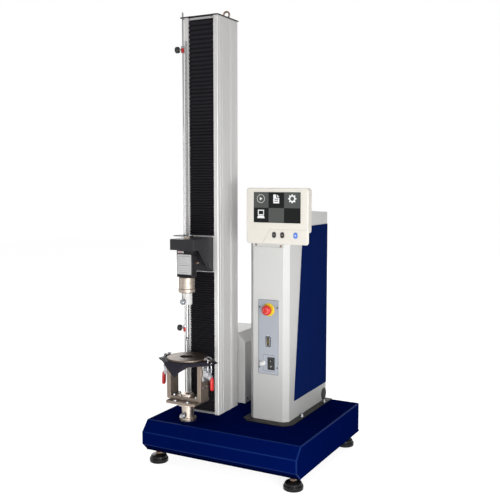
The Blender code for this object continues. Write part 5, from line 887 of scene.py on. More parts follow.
def line_frame(width, height, centre, thick, depth):
    """A thin printed frame: a plate with one large hole."""
    loops = [eased(oblong(width - 2 * step, height - 2 * step, centre), 0.002 - step, 3)
             for step in (0.0, thick)]
    return on_plate(plate(loops, rim(depth, 0.00003, 1)))


piece("control_plate_print", "ink", "machine",
      [line_frame(0.0406, 0.0531, (0.0023, -0.0826), 0.0007, 0.00012),
       line_frame(0.0694, 0.2364, (0.0, 0.0), 0.0006, 0.0001)])
print("plate holds", len(corner_screws), "screws")

# %% Data socket
shell_view = eased(mm((-6, -15), (6, -13.5), (6, 13.5), (-6, 15)), 0.0022, 5)
piece("data_socket_body", "black_plastic", "machine",
      [on_plate(plate([eased(oblong(0.0175, 0.033), 0.0022, 4), shell_view], rim(0.0016, 0.0004)),
                SOCKET_AT),
       on_plate(plate([inset(shell_view, 0.0012)], rim(0.0022, 0.0003)), SOCKET_AT)])
piece("data_socket_shell", "zinc", "machine",
      [on_plate(plate([shell_view, inset(shell_view, 0.0009)], rim(0.0040, 0.0003)), SOCKET_AT)])
pins = [(x, z) for x, count in ((-0.0015, 5), (0.0015, 4))
        for z in (np.arange(count) - (count - 1) / 2) * 0.0042]
pin = turned(mm((0, 2.2), (0.6, 2.2), (0.6, 3.4), (0.3, 3.8), (0, 3.8)), 10)
piece("data_socket_pins", "yellow", "machine", [on_plate(pin, SOCKET_AT + spot) for spot in pins])
piece("data_socket_nuts", "zinc", "machine",
      [on_plate(hexagon(0.0048, 0.0030, 0.0003), SOCKET_AT + (0, z)) for z in (-0.02, 0.02)])
print("socket with", len(pins), "pins")

# %% Power rocker
bevel = mm((0, 0), (0, 1), (0.4, 1.8), (1.2, 2.4), (2, 2.5))
piece("rocker_frame", "black_plastic", "machine",
      [on_plate(plate([eased(oblong(0.0240, 0.0400), 0.0020, 4), eased(oblong(0.0186, 0.0326), 0.0008, 3)],
                      bevel), ROCKER_AT)])
TILT = math.radians(9.0)
TILTED = np.array([[1, 0, 0], [0, math.cos(TILT), math.sin(TILT)], [0, -math.sin(TILT), math.cos(TILT)]])
HALF_CAP = 0.0159


def rocker_top(share):
    """The height of the cap's hollow top: least at the hinge, it grows as |share| to the 1.5."""
    return 0.0030 + 0.0008 * np.abs(share) ** 1.5


def rocker_face(width):
    """The rocker's top: a shallow V along its height, each half slightly hollow, with rounded
    ends; then the whole turns by the tilt about the hinge line."""
    u, v = np.linspace(-1, 1, 25), np.linspace(-1, 1, 9)
    edge = 0.0009 * (np.clip(np.abs(u) - 0.93, 0, 1) / 0.07) ** 2
    side = 0.0005 * (np.clip(np.abs(v) - 0.90, 0, 1) / 0.10) ** 2
    y, x = np.meshgrid(u * HALF_CAP, v * width / 2, indexing="ij")
    upper = (rocker_top(u) - edge)[:, None] - side
    lower = np.where(np.abs(u) > 0.98, 0.0012, -0.0002 + 0.0014 * np.abs(u))[:, None] + 0 * side
    return skin(np.concatenate([np.stack([x, y, upper], -1), np.stack([x, y, lower], -1)[:, ::-1]], 1)
                @ TILTED)


def on_rocker(shape, y):
    """Lays a printed mark on the tilted cap, at a height along it."""
    sunk = np.array([0, y, rocker_top(y / HALF_CAP) - 0.00004])
    return on_plate(placed(shape, sunk @ TILTED, TILTED), ROCKER_AT)


piece("rocker_cap", "black_plastic", "rocker", [on_plate(rocker_face(0.0180), ROCKER_AT)],
      ["power_rocker"])
dash = plate([eased(oblong(0.0009, 0.0048), 0.0003, 2)], rim(0.00018, 0.00005, 1))
circle = turned(mm((1.3, 0), (2.1, 0), (2.1, 0.18), (1.3, 0.18)), 32, True)
piece("rocker_marks", "white_plastic", "rocker", [on_rocker(dash, 0.0085), on_rocker(circle, -0.0085)])
print("rocker tilts", round(math.degrees(TILT), 1), "degrees")

# %% Speed knob
points, faces = lathe(mm((0, 12), (5.8, 12), (7, 10.6), (7.4, 3.6), (8.8, 3), (8.8, 0.3), (3, 0.3),
                         (3, -8), (0, -8)), 0.0006, 3, 72)
grip = (points[:, 2] > 0.0045) & (np.hypot(*points[:, :2].T) > 0.0062)
angle = np.arctan2(points[:, 1], points[:, 0])
points[grip, :2] *= (1 - 0.035 * (0.5 + 0.5 * np.cos(angle[grip] * 18)))[:, None]
piece("speed_knob_cap", "white_button", "knob", [on_plate((points, faces), KNOB_AT)], ["speed_knob"])
pointer = plate([eased(oblong(0.0008, 0.0045, (0, 0.0030)), 0.0003, 2)], rim(0.00015, 0.00004, 1))
piece("speed_knob_pointer", "ink", "knob", [on_plate(pointer, KNOB_AT, 0.01197)])
print("knob ribs: 18")

# %% Emergency stop
collar = lathe(mm((9.5, 0.3), (20.5, 0.3), (20.5, 1.7), (19, 2.6), (12.2, 3.2), (9.5, 3.2)),
               0.0006, 3, 72, True)
piece("estop_disc", "yellow", "machine", [on_plate(collar, ESTOP_AT)], ["estop_collar"])
neck_ring = lathe(mm((7.6, 3), (11.2, 3), (11.2, 4.8), (10.4, 5.4), (7.6, 5.4)), 0.0003, 3, 48, True)
piece("estop_bezel_ring", "zinc", "machine", [on_plate(neck_ring, ESTOP_AT)])
head = lathe(mm((0, 24.5), (7, 24), (12.2, 22.2), (15.2, 19.2), (16, 16), (16, 12.8), (15, 11.6),
                (9.8, 11.8), (7.4, 10), (7.3, -12), (0, -12)), 0.0009, 3, 72)
piece("estop_mushroom", "red_button", "emergency_stop", [on_plate(head, ESTOP_AT)], ["estop_button"])


def arrow_arc(radius, start, sweep, width, lift, steps=14):
    """A flat arc with an arrowhead: inner and outer edge points at each angle, on a dome whose
    height falls with the square of the distance from its middle."""
    angle = np.radians(np.linspace(start, start + sweep, steps))
    angle = np.append(angle, [angle[-1], angle[-1] + 0.42])
    halves = np.append(np.full(steps, width / 2), [width * 1.25, width * 0.02])
    columns = []
    for side, extra in ((-1, lift), (1, lift), (1, -0.0003), (-1, -0.0003)):
        r = radius + side * halves
        columns.append([r * np.cos(angle), r * np.sin(angle), 0.0246 - 0.0024 * (r / 0.0122) ** 2 + extra])
    return skin(np.array(columns).transpose(2, 0, 1))


piece("estop_arrows", "white_plastic", "emergency_stop",
      [on_plate(arrow_arc(0.0082, start, 68, 0.0009, 0.00012), ESTOP_AT) for start in (10, 130, 250)])
print("emergency stop stands", round(1000 * float(head[0][:, 2].max()), 1), "mm proud")

# %% [markdown]
# ## The display
# The display is a cream moulding with a screen and three oval buttons, held on the tower by a
# bracket plate. The face is a rounded rectangle whose edge falls away in a wide soft curve, and
# a fine raised line runs along the top and down the left side. The screen shows a plain grid of
# tiles with generic symbols.

# %% Display housing
CENTRE_X, CENTRE_Z = 0.1314, 0.7934
FACE_Y = corners_of("display_housing")[0][1]
SCREEN_AT = np.array([-0.0003, 0.0260])
BUTTONS_X, BUTTONS_Z = (-0.0090, 0.0186, 0.0626), -0.0570
BRACKET_X = 0.0822 - CENTRE_X


def on_face(shape, spot=(0, 0), proud=0.0):
    """Puts a shape on the display's face, at a place from its centre."""
    return placed(shape, (CENTRE_X + spot[0], FACE_Y - proud, CENTRE_Z + spot[1]), FRONT)


def plate_with_walls(outer, outer_wall, holes, hole_wall):
    """Like plate, with one wall for the outline and another, of equal heights, for the holes."""
    whole = plate([outer, *holes], outer_wall)
    count = len(outer_wall) * len(outer)
    for hole in holes:
        rows = np.stack([np.column_stack([inset(hole, -step), np.full(len(hole), height)])
                         for step, height in hole_wall]).reshape(-1, 3)
        whole[0][count:count + len(rows)] = rows
        count += len(rows)
    return whole


crown = mm((2.2, 0), (0.6, 0.9), (0, 2.4), (0, 5.2), (0.3, 6.3), (1, 7.2), (2.1, 7.8), (3.6, 8))
narrow = mm((0, 0), (0, 0.9), (0, 2.4), (0, 5.2), (0, 6.3), (0, 7.2), (0.1, 7.7), (0.4, 8))
wells = [eased(oblong(0.0138, 0.0188, (x, BUTTONS_Z)), 0.0066, 6) for x in BUTTONS_X]
face_plate = plate_with_walls(eased(oblong(0.2075, 0.1705), 0.0085, 7), crown,
                              [eased(oblong(0.1576, 0.0931, SCREEN_AT), 0.0012, 3), *wells], narrow)
floor_plate = plate([eased(oblong(0.190, 0.150), 0.004, 3)], rim(0.0012, 0.0002, 1))
back = plate([eased(oblong(0.2055, 0.1345, (0.0, 0.0170)), 0.0080, 6)],
             mm((3, 0), (0.8, 1.2), (0, 3.2), (0, 23.5)))
rear_box = plate([eased(oblong(0.150, 0.110, (-0.006, 0.004)), 0.004, 4)], rim(0.0212, 0.0012))
piece("display_case", "cream", "machine",
      [on_face(shape, proud=-depth) for shape, depth in ((face_plate, 0.008), (floor_plate, 0.0052),
                                                         (back, 0.0295), (rear_box, 0.0372))],
      ["display_housing"])
line = eased(mm((-47, -82.5), (-23.5, -40.2), (94.5, -40.2)), (0.001, 0.012, 0.001), 10, False)
# The raised line is coloured a darker cream than the face: painted shade along the line.
stock("cream_painted_shade_line", "cream_plastic", "", "cream_enamel_shadow", (0.40, 0.38, 0.345), 0.5, 1300, 1e-5, 0.03)
piece("display_face_line_painted_shade", "cream_painted_shade_line", "machine",
      [on_face(bar(np.column_stack([line, np.full(len(line), 0.00002)]), 0.00042, 8))])
# A dark plate, slightly larger than the bracket and behind it, shows as a thin dark rim under its edge: a
# painted shadow gap.
shadow_gap_view = eased(oblong(0.1056, 0.0300, (BRACKET_X, -0.0835)), 0.0020, 2)
piece("display_bracket_painted_shadow", "frame_steel", "machine",
      [on_face(plate([shadow_gap_view], rim(0.0006, 0.0002, 1)), proud=-0.0397)])
bracket_view = eased(oblong(0.104, 0.1260, (BRACKET_X, -0.0347)), 0.0015, 2)
piece("display_bracket", "light_grey", "machine",
      [on_face(plate([bracket_view], rim(0.0025, 0.0004)), proud=-0.0397)])
copies("display_bracket_screws", "brown_steel", "machine", pan_screw(0.0034, 0.0017),
       [(x, FACE_Y + 0.0372, z) for x, z in ((0.0421, 0.7006), (0.1275, 0.6990))], FRONT)
print("display face at y", round(float(FACE_Y), 4))

# %% Screen tiles
piece("screen_glass_plate", "screen", "machine",
      [on_face(plate([eased(oblong(0.157, 0.0925), 0.0010, 3)], rim(0.0024, 0.0003)), SCREEN_AT, -0.0030)],
      ["display_screen"])
for key, name, colour, roughness, tone in (
        ("tile_light", "screen_tile_light_grey", (0.072, 0.076, 0.073), 0.35, 0.02),
        ("tile_dark", "screen_tile_dark", (0.011, 0.012, 0.012), 0.30, 0.05),
        ("symbol", "screen_symbol_white", (0.72, 0.72, 0.72), 0.40, 0.02)):
    stock(key, None, "", name, colour, roughness, 1500, 2e-6, tone, specular=0.08)
GLASS, PRINT = -0.0006, 0.00012
for row, (z0, z1) in enumerate(mm((24.6, 72.3), (-20.2, 24.6))):
    for column, (x0, x1) in enumerate(mm((-78.8, -27.9), (-27.9, 24.1), (24.1, 78.2))):
        view = eased(oblong(x1 - x0 - 0.0002, z1 - z0 - 0.0002), 0.0003, 2)
        piece("screen_tile_%d_%d" % (row, column), ("tile_light", "tile_dark")[(row + column) % 2],
              "machine", [on_face(plate([view], rim(0.0002, 0.00005, 1)),
                                  ((x0 + x1) / 2, (z0 + z1) / 2), GLASS)])
print("tiles: 6")


# %% Screen symbols
def symbol(outline, centre, *holes):
    """A flat symbol, with its outline and holes measured from its own centre."""
    loops = [np.asarray(loop) + centre for loop in (outline, *holes)]
    return on_face(plate(loops, rim(PRINT, 0.00003, 1)), proud=GLASS + 0.0002)


PLAY, PAGE, GEAR, LAPTOP = mm((-54, 52.3), (-1.9, 52), (51.1, 53), (-53.8, 2.2))
teeth = np.arange(128) * np.pi / 64
tooth = 1 / (1 + np.exp(-14 * (np.cos(teeth * 8) - 0.1)))
gear_view = np.stack([np.cos(teeth), np.sin(teeth)], 1) * (0.0104 + 0.0030 * tooth)[:, None]
page_view = mm((-9.8, -13.2), (9.8, -13.2), (9.8, 3.6), (-0.6, 3.6), (-0.6, 13.2), (-9.8, 13.2))
symbols = [symbol(round_hole(0.0129, steps=56), PLAY, round_hole(0.0119, steps=56)),
           symbol(mm((-3.6, -5.2), (5.4, 0), (-3.6, 5.2)), PLAY),
           symbol(page_view, PAGE, *(oblong(0.0124, 0.0024, (0, z)) for z in (-0.0008, -0.0070))),
           symbol(mm((2.6, 6), (9.8, 6), (2.6, 13.2)), PAGE),
           symbol(gear_view, GEAR, round_hole(0.0064, steps=32)),
           symbol(eased(oblong(0.0209, 0.0163, (0, 0.0081)), 0.0012, 3), LAPTOP,
                  oblong(0.0155, 0.0108, (0, 0.0079))),
           symbol(mm((-13, -9.6), (13, -9.6), (9.6, -1.2), (-9.6, -1.2)), LAPTOP)]
piece("screen_symbols", "symbol", "machine", symbols)
print("screen has", len(symbols), "symbols")

# %% Display buttons
oval = eased(oblong(0.0130, 0.0180), 0.0063, 7)
cap = plate([oval], mm((0, 0), (0, 1.4), (0.6, 2), (1.6, 2.2)))
mark = turned(mm((0, 0), (2.6, 0), (2.4, 0.2), (0, 0.3)), 24)
trim = plate([inset(oval, -0.0012), inset(oval, -0.0004)], rim(0.0005, 0.0002, 2))
for label, x, key, dot in (("left", BUTTONS_X[0], "black_plastic", "brown_steel"),
                           ("middle", BUTTONS_X[1], "black_plastic", "brown_steel"),
                           ("right", BUTTONS_X[2], "blue_button", "white_button")):
    spot = (x, BUTTONS_Z)
    piece("button_%s_cap" % label, key, label + "_button", [on_face(cap, spot, -0.0010)],
          ["display_button_" + label])
    piece("button_%s_mark" % label, dot, label + "_button", [on_face(mark, spot, 0.00115)])
    piece("button_%s_trim" % label, "zinc", "machine", [on_face(trim, spot, -0.0001)])
print("buttons:", len(BUTTONS_X))

# %% [markdown]
# ## Column fittings
# A thin black plate closes the top, with a lifting eye and two screws on it. The eye is a ring
# of round bar; its centre line is a circle in the column's side plane, and the bar follows it.

# %% Top plate and lifting eye
ROD_X, ROD_Y = -0.2166, -0.083
low, high = corners_of("column_top_plate")
piece("column_lid", "black_anodised", "machine",
      [slab(rectangle(*low[:2], *high[:2]), 0.003, 0.003, 0.0005, (0, 0, low[2]), UP,
            [round_hole(0.0028, (ROD_X, ROD_Y), 28)])], ["column_top_plate"])
lid_top = high[2]
copies("column_lid_screws", "brown_steel", "machine", cap_screw(0.0036, 0.003),
       [(COLUMN_X + x, COLUMN_FRONT + y, lid_top) for y in (0.01, 0.12) for x in (-0.045, 0.045)])

EYE_AT = np.array([-0.108, 0.008, lid_top + 0.0003])
loop = np.linspace(0, 2 * np.pi, 56, endpoint=False)
loop = np.column_stack([np.cos(loop), 0 * loop, np.sin(loop)]) * 0.0105 + (0, 0, 0.0143)
shoulder = lathe(mm((0, 0), (7.5, 0), (7.5, 3.6), (5.5, 5), (0, 5.2)), 0.0006, 3, 40)
piece("lifting_eye", "brown_steel", "machine",
      [placed(bar(loop, 0.003, 18, (0, 1, 0), True), EYE_AT), placed(shoulder, EYE_AT)], ["eye_bolt"])
print("lid at", round(float(lid_top), 4))

# %% [markdown]
# ## Bellows
# Two pleated cloth covers close the column's window above and below the crosshead. A pleat is a
# triangle wave with a soft crest, and the pitch grows towards the top, where the cover is less
# compressed. Each cover is split into groups of whole pleats, each group a piece of its own, cut
# at set shares of the way from the machine's end of the cover to the crosshead's end.


def pleat_rows(length, pitch_low, pitch_high, fine=8):
    """Heights and depths down a cover: the height grows as p0 s + (p1 - p0) s^3 / 3, and the
    depth is a triangle wave of the pleat number, its crest and fold rounded."""
    count = max(3, round(length / (pitch_low + (pitch_high - pitch_low) / 3)))
    share = np.linspace(0, 1, count * fine + 1)
    height = pitch_low * share + (pitch_high - pitch_low) * share ** 3 / 3
    height *= length / height[-1]
    wave = np.abs(2 * ((share * count) % 1.0) - 1)
    wave = (np.sqrt(wave ** 2 + 0.012) - math.sqrt(0.012)) / (math.sqrt(1.012) - math.sqrt(0.012))
    return count, height, wave


def cover_rows(height, wave, count, width, seed):
    """Each row of the cover: the front runs across with slight waviness that differs from pleat
    to pleat, the ends turn back round small corners, and the back is plain."""
    number = np.floor(np.arange(len(height)) / 8)
    draw = np.random.default_rng(seed)
    lift, phase = draw.uniform(0.0, 0.0007, count + 1), draw.uniform(0, 2 * np.pi, count + 1)
    lift, phase = lift[number.astype(int)], phase[number.astype(int)]
    u = np.sin(np.linspace(-np.pi / 2, np.pi / 2, 27))
    front = (0.0003 + 0.0064 * wave[:, None] + lift[:, None] * (1 - wave)[:, None]
             + 0.00018 * np.sin(u[None, :] * 5.0 + phase[:, None]) * (1 - wave)[:, None])
    front += 0.0012 * (np.abs(u) ** 14)[None, :] * (1 - wave)[:, None]
    x = np.broadcast_to(u * width / 2, front.shape)
    z = np.broadcast_to(height[:, None], front.shape) - 0.0004 * (1 - u[None, :] ** 2)
    rear = np.stack([x[:, [-1, 0]], np.full((len(height), 2), 0.0094), z[:, [-1, 0]]], -1)
    return np.concatenate([np.stack([x, front, z], -1), rear], 1)


PLEAT_GROUPS = np.concatenate([[0.0], 0.072 * 1.27 ** np.arange(9)])
PLEAT_GROUPS = PLEAT_GROUPS[PLEAT_GROUPS < 0.5]
GROUP_ENDS = PLEAT_GROUPS ** 2 * (3 - 2 * PLEAT_GROUPS)
GROUP_ENDS = np.concatenate([GROUP_ENDS, 1 - GROUP_ENDS[::-1]])


def bellows_cover(label, node, low, high, fixed, moving, pitches, seed):
    """Builds one cover as groups of whole pleats, cut where the pleats lie nearest to set shares of
    the way from the fixed end to the crosshead end; each group is a piece of its own."""
    length = high - low
    count, height, wave = pleat_rows(length, *pitches)
    rows = cover_rows(height, wave, count, WINDOW - 0.002, seed)
    rows = rows + (COLUMN_X, COLUMN_FRONT + 0.0012, low)
    share = (height + low - fixed) / (moving - fixed)
    whole = share[::8] if share[0] < share[-1] else share[::8][::-1]
    cuts = np.unique([np.abs(whole - end).argmin() for end in GROUP_ENDS])
    for number, (first, last) in enumerate(zip(cuts[:-1], cuts[1:])):
        a, b = (first, last) if share[0] < share[-1] else (count - last, count - first)
        part = rows[a * 8:b * 8 + 1]
        made = piece("bellows_%s_%02d" % (label, number), "bellows", None, [skin(part)],
                     () if number else [node], sharp=50, doubles=0)
        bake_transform(made)
    return count, len(cuts) - 1


for label, pitches, seed in (("upper", (0.008, 0.015), 5), ("lower", (0.0075, 0.0075), 9)):
    ends = [corner[2] for corner in corners_of("bellows_" + label)]
    fixed, moving = ends if label == "lower" else ends[::-1]
    made = bellows_cover(label, "bellows_" + label, *ends, fixed, moving, pitches, seed)
    print(label, "cover: %d pleats in %d groups" % made)

# %% [markdown]
# ## The scale
# A printed steel strip on the left flange reads the crosshead's height in millimetres. Its
# marks are real shallow shapes: one row per millimetre as a single array, longer at every fifth
# and tenth, with the centimetre numbers beside them.

# %% Scale strip
low, high = corners_of("scale_strip")
strip = plate([eased(rectangle(low[0], low[2], high[0], high[2]), 0.0008, 2)], rim(0.0007, 0.0002, 2))
piece("scale_strip_steel", "scale", "machine", [placed(strip, (0, high[1], 0), FRONT)], ["scale_strip"])


def blocks(x0, x1, y0, y1, z0, z1):
    """Many upright boxes at once: the eight corners of each pick low or high along each axis."""
    low, high = (np.stack(np.broadcast_arrays(*ends), -1) for ends in ((x0, y0, z0), (x1, y1, z1)))
    pick = np.array([[0, 0, 0], [1, 0, 0], [1, 1, 0], [0, 1, 0], [0, 0, 1], [1, 0, 1], [1, 1, 1], [0, 1, 1]])
    sides = np.array([[0, 3, 2, 1], [4, 5, 6, 7], [0, 1, 5, 4], [1, 2, 6, 5], [2, 3, 7, 6], [3, 0, 4, 7]])
    faces = sides + 8 * np.arange(len(low))[:, None, None]
    return np.where(pick, high[:, None], low[:, None]).reshape(-1, 3), faces.reshape(-1, 4).tolist()


millimetre = np.arange(2, 1200)
z, right, face = low[2] + millimetre * 0.001, high[0] - 0.0006, high[1] - 0.0007
reach = np.where(millimetre % 10 == 0, 0.0052, np.where(millimetre % 5 == 0, 0.0038, 0.0024))
thick = np.where(millimetre % 10 == 0, 0.00024, 0.00016)
marks = blocks(right - reach, right, face - 0.00006, face + 0.0001, z - thick, z + thick)
piece("scale_marks", "ink", "machine", [marks], doubles=0)


def lettering(words, size, depth=0.00012):
    """Text as a solid mesh: the flat outline is filled by the font, then given its depth."""
    curve = bpy.data.curves.new("lettering", "FONT")
    curve.body, curve.size, curve.extrude = words, size, depth / 2
    curve.align_x, curve.align_y, curve.resolution_u = "CENTER", "CENTER", 3
    holder = bpy.data.objects.new("lettering", curve)
    mesh = bpy.data.meshes.new_from_object(holder)
    points = np.empty(len(mesh.vertices) * 3)
    mesh.vertices.foreach_get("co", points)
    faces = [list(polygon.vertices) for polygon in mesh.polygons]
    bpy.data.objects.remove(holder)
    bpy.data.curves.remove(curve)
    bpy.data.meshes.remove(mesh)
    return points.reshape(-1, 3), faces


upwards = np.array([[0, 0, 1], [-1, 0, 0], [0, -1, 0]], float)
numbers = [placed(lettering(str(10 * step), 0.0034), (low[0] + 0.0022, face, low[2] + 0.01 * step),
                  upwards) for step in range(2, 120, 2)]
piece("scale_numbers", "ink", "machine", numbers)
copies("scale_screws", "zinc", "machine", pan_screw(0.002, 0.001),
       [((low[0] + high[0]) / 2, face, z) for z in (low[2] + 0.006, high[2] - 0.006)], FRONT)
print("scale:", len(millimetre), "marks and", len(numbers), "numbers")

# %% [markdown]
# ## Limit rod and stop collars
# The rod is a thin steel bar beside the column. Each collar slides on it and is held by a thumb
# screw. A grey band sits on the red body, and the black knob is fluted for the fingers, so its
# radius goes in and out as the angle goes round.

# %% Rod and collars
low, high = corners_of("limit_rod")
tall = high[2] - low[2]
rod = lathe([(0, 0), (0.0075, 0), (0.0075, 0.0085), (0.0068, 0.009), (0.0026, 0.009), (0.0025, 0.01),
             (0.0025, tall - 0.001), (0.0016, tall), (0, tall)], 0.0003, 2, 32)
piece("limit_rod_bar", "steel", "machine", [placed(rod, (ROD_X, ROD_Y, low[2]))], ["limit_rod"])


def fluted(rows, flutes, depth, steps=96):
    """A turned shape whose outer wall is scalloped: the radius is less by the depth where
    cos(flutes * angle) is high."""
    points, faces = turned(rows, steps)
    rows = np.asarray(rows)
    reach = np.hypot(points[:, 0], points[:, 1])
    outer = reach > rows[:, 0].max() * 0.86
    angle = np.arctan2(points[:, 1], points[:, 0])
    points[outer, :2] *= (1 - depth * np.clip(np.cos(angle * flutes), 0, 1)[outer] ** 2)[:, None]
    return points, faces


half, stops = 0.0105, []
ring = hoop(0.0028, 0.0063, -half, half - 0.0068, 0.0004, 3, 48)
band = hoop(0.0028, 0.0063, half - 0.0067, half, 0.0004, 3, 48)
shank = lathe(mm((0, 4.8), (3, 4.8), (3, 14.3), (0, 14.3)), 0.0002, 2, 24)
knob = fluted(eased(mm((0, 14.3), (6, 14.3), (8.5, 15.2), (10.5, 17), (10.5, 24.5), (9.2, 26.2),
                       (0, 26.3)), 0.0008, 3, False), 7, 0.1)
for label in ("upper", "lower"):
    node, body = "stop_collar_" + label, label + "_stop"
    low, high = corners_of(node)
    middle = (ROD_X, ROD_Y, (low[2] + high[2]) / 2)
    piece("stop_%s_body" % label, "red_collar", body, [placed(ring, middle)], [node])
    piece("stop_%s_band" % label, "blue_grey", body, [placed(band, middle)])
    piece("stop_%s_screw" % label, "steel", body, [placed(shank, middle, LEFT)])
    piece("stop_%s_knob" % label, "black_plastic", body, [placed(knob, middle, LEFT)])
    stops.append(round(float(low[2]), 3))
print("stops at", stops)

# %% [markdown]
# ## The crosshead arm
# A black arm carries the load cell in front of the column, held by two triangular gussets. Each
# part of it is a flat outline with its own thickness. Thin aluminium strips clamp the ends of
# the bellows to the carriage, and to the column's top and foot.

# %% Arm, clamp strips and actuator
low, high = corners_of("crosshead_arm")
under, back_front, block_rear = high[2] - 0.0345, -0.0982, -0.0962
gusset = [(back_front + 0.001, low[2] + 0.0055), (back_front + 0.001, under + 0.001),
          (-0.1644, under + 0.001), (-0.1644, under), (back_front - 0.0055, low[2] + 0.0055)]
piece("crosshead_arm_block", "black_anodised", "crosshead",
      [slab(rectangle(low[0], under, high[0], high[2]), 0.0016, block_rear - low[1], 0.001,
            (0, block_rear, 0), FRONT),
       slab(rectangle(low[0], low[2], high[0], high[2]), 0.0016, high[1] - back_front, 0.0006,
            (0, high[1], 0), FRONT),
       *(slab(gusset, 0.0004, 0.012, 0.0008, (x, 0, 0), RIGHT) for x in (low[0], high[0] - 0.012))],
      ["crosshead_arm"])
copies("crosshead_arm_screws", "black_anodised", "crosshead", cap_screw(0.0055, 0.006),
       [(COLUMN_X + x, back_front, z) for x in (-0.018, 0.018) for z in (0.630, 0.668)], FRONT)
on_top = np.array([AXIS_X + 0.0012, AXIS_Y, high[2]])
piece("load_cell_bolt", "nickel", "crosshead",
      [placed(hoop(0.0055, 0.0112, 0, 0.0015, 0.0004, 2, 40), on_top),
       placed(hexagon(0.018, 0.0062, 0.001), on_top + (0, 0, 0.0015))])

for label, x0, x1, z0, z1, body, head in (
        ("carriage_upper", -0.1687, -0.1060, 0.7206, 0.7230, "crosshead", 0.0012),
        ("carriage_lower", -0.1520, -0.1070, 0.6068, 0.6092, "crosshead", 0.0012),
        ("column_top", -0.1900, -0.1030, 1.4062, 1.4118, "machine", 0.0021),
        ("column_foot", -0.1900, -0.1030, 0.1396, 0.1458, "machine", 0.0021)):
    piece("bellows_strip_" + label, "anodised_block", body,
          [slab(rectangle(x0, z0, x1, z1), 0.0005, 0.0013, 0.0003, (0, -0.0882, 0), FRONT)])
    copies("bellows_strip_screws_" + label, "brown_steel", body, pan_screw(head, 0.0009),
           [(x, -0.0895, (z0 + z1) / 2) for x in (x0 + 0.004, x1 - 0.004)], FRONT)

low, high = corners_of("limit_actuator")
finger = eased([(low[0], low[1]), (high[0], low[1]), (high[0], -0.0924), (-0.2099, -0.0924),
                (-0.2099, high[1]), (low[0], high[1])], 0.0015, 3)
piece("limit_actuator_finger", "black_anodised", "crosshead",
      [cut([finger, round_hole(0.0041, (ROD_X, ROD_Y), 28)], 0.003, 0.0004, (0, 0, low[2]))],
      ["limit_actuator"])
copies("limit_actuator_screws", "zinc", "crosshead", cap_screw(0.0032, 0.0028),
       [(x, -0.1018, high[2]) for x in (-0.1860, -0.1785)])
piece("limit_actuator_bush", "white_plastic", "crosshead",
      [placed(hoop(0.0028, 0.006, 0, 0.0018, 0.0004, 2, 36), (ROD_X, ROD_Y, high[2]))])
print("arm underside at", round(float(under), 4))

# %% [markdown]
# ## The load cell
# The load cell is a steel block with a slot from each side, so that it bends as an S when it is
# pulled. On the front is its data plate. It is left blank, with fine ruled lines in place of
# words. A gland on the right side is where the signal cable plugs in.

# %% Load cell
stock("load_cell_black", "black_paint", "", "load_cell_black_paint", (0.009, 0.0085, 0.01), 0.38, 1300,
      2e-5, 0.2, dust=0.03, wear=0.5, worn=(0.16, 0.16, 0.16), specular=0.2)
stock("label", "white_plastic", "", "white_printed_film", (0.44, 0.44, 0.44), 0.42, 900, 6e-6, 0.04,
      specular=0.2)
stock("grey_print", "black_plastic", "", "grey_print", (0.10, 0.10, 0.11), 0.50, 900, 3e-6, 0.15)
# Near-black plugs and rings set in holes and in the probe's neck: painted shade.
stock("bore", "black_paint", "", "painted_bore_shade", (0.012, 0.01, 0.009), 0.60, 900, 5e-6, 0.3)
low, high = corners_of("load_cell")
front, middle = low[1], (low + high) / 2
upper, lower, slot, reach = high[2] - 0.0160, low[2] + 0.0130, 0.003, 0.042
s_shape = [(low[0], low[2]), (high[0], low[2]), (high[0], upper), (high[0] - reach, upper),
           (high[0] - reach, upper + slot), (high[0], upper + slot), (high[0], high[2]),
           (low[0], high[2]), (low[0], lower + slot), (low[0] + reach, lower + slot),
           (low[0] + reach, lower), (low[0], lower)]
piece("load_cell_beam", "load_cell_black", "crosshead",
      [slab(s_shape, 0.001, high[1] - low[1], 0.0008, (0, high[1], 0), FRONT,
            [round_hole(0.009, middle[[0, 2]], 40)])], ["load_cell"])
filling = lathe(mm((0, 0), (9.1, 0), (9.1, 23.5), (0, 23.5)), 0.0006, 3, 40)
piece("load_cell_filling", "rubber", "crosshead",
      [placed(filling, (middle[0], high[1] - 0.0012, middle[2]), FRONT)])


def film(name, key, corners, radius, thickness, edge, behind):
    """A thin plate or print on the load cell's front, on what lies behind it."""
    piece(name, key, "crosshead",
          [slab(rectangle(*corners), radius, thickness, edge, (0, front - behind, 0), FRONT)])


film("load_cell_data_plate", "black_plastic", (-0.1735, 0.608, -0.119, 0.673), 0.0008, 0.001, 0.0003,
     0.0001)
film("load_cell_data_film", "label", (-0.1722, 0.6092, -0.121, 0.6713), 0.001, 0.0003, 0.0001, 0.0011)
z, x0, x1, thick = mm((665.5, -168.8, -124.5, 1.1), (659.2, -170, -164, 0.6), (659.2, -154, -144, 0.6),
                      (654, -170, -158, 0.4), (648.2, -170, -140, 0.4), (642.6, -166, -128.5, 0.4),
                      (637, -168, -126.5, 1.1), (627, -170, -127, 0.4), (620.5, -170, -127, 0.4),
                      (615, -166, -133, 0.7)).T
lines = blocks(x0, x1, front - 0.00147, front - 0.0013, z - thick / 2, z + thick / 2)
piece("load_cell_ruled_lines", "grey_print", "crosshead", [lines], doubles=0)
film("load_cell_tag", "label", (-0.1715, 0.6752, -0.149, 0.6812), 0.0008, 0.0004, 0.0001, 0)
film("load_cell_tag_line", "red_collar", (-0.1695, 0.6771, -0.1545, 0.6789), 0.0003, 0.0002, 0.00005, 0.0004)

gland_at = np.array([high[0], -0.1683, 0.644])
gland = lathe(mm((0, 0), (4.2, 0), (4.2, 3.5), (3, 4.2), (3, 6.8), (1.7, 8.5), (0, 8.5)), 0.0003, 3, 32)
piece("load_cell_gland", "brown_steel", "crosshead",
      [placed(gland, gland_at, RIGHT),
       placed(hexagon(0.0078, 0.003, 0.0005), gland_at + (0.0003, 0, 0), RIGHT)])
print("data plate lines:", len(z))
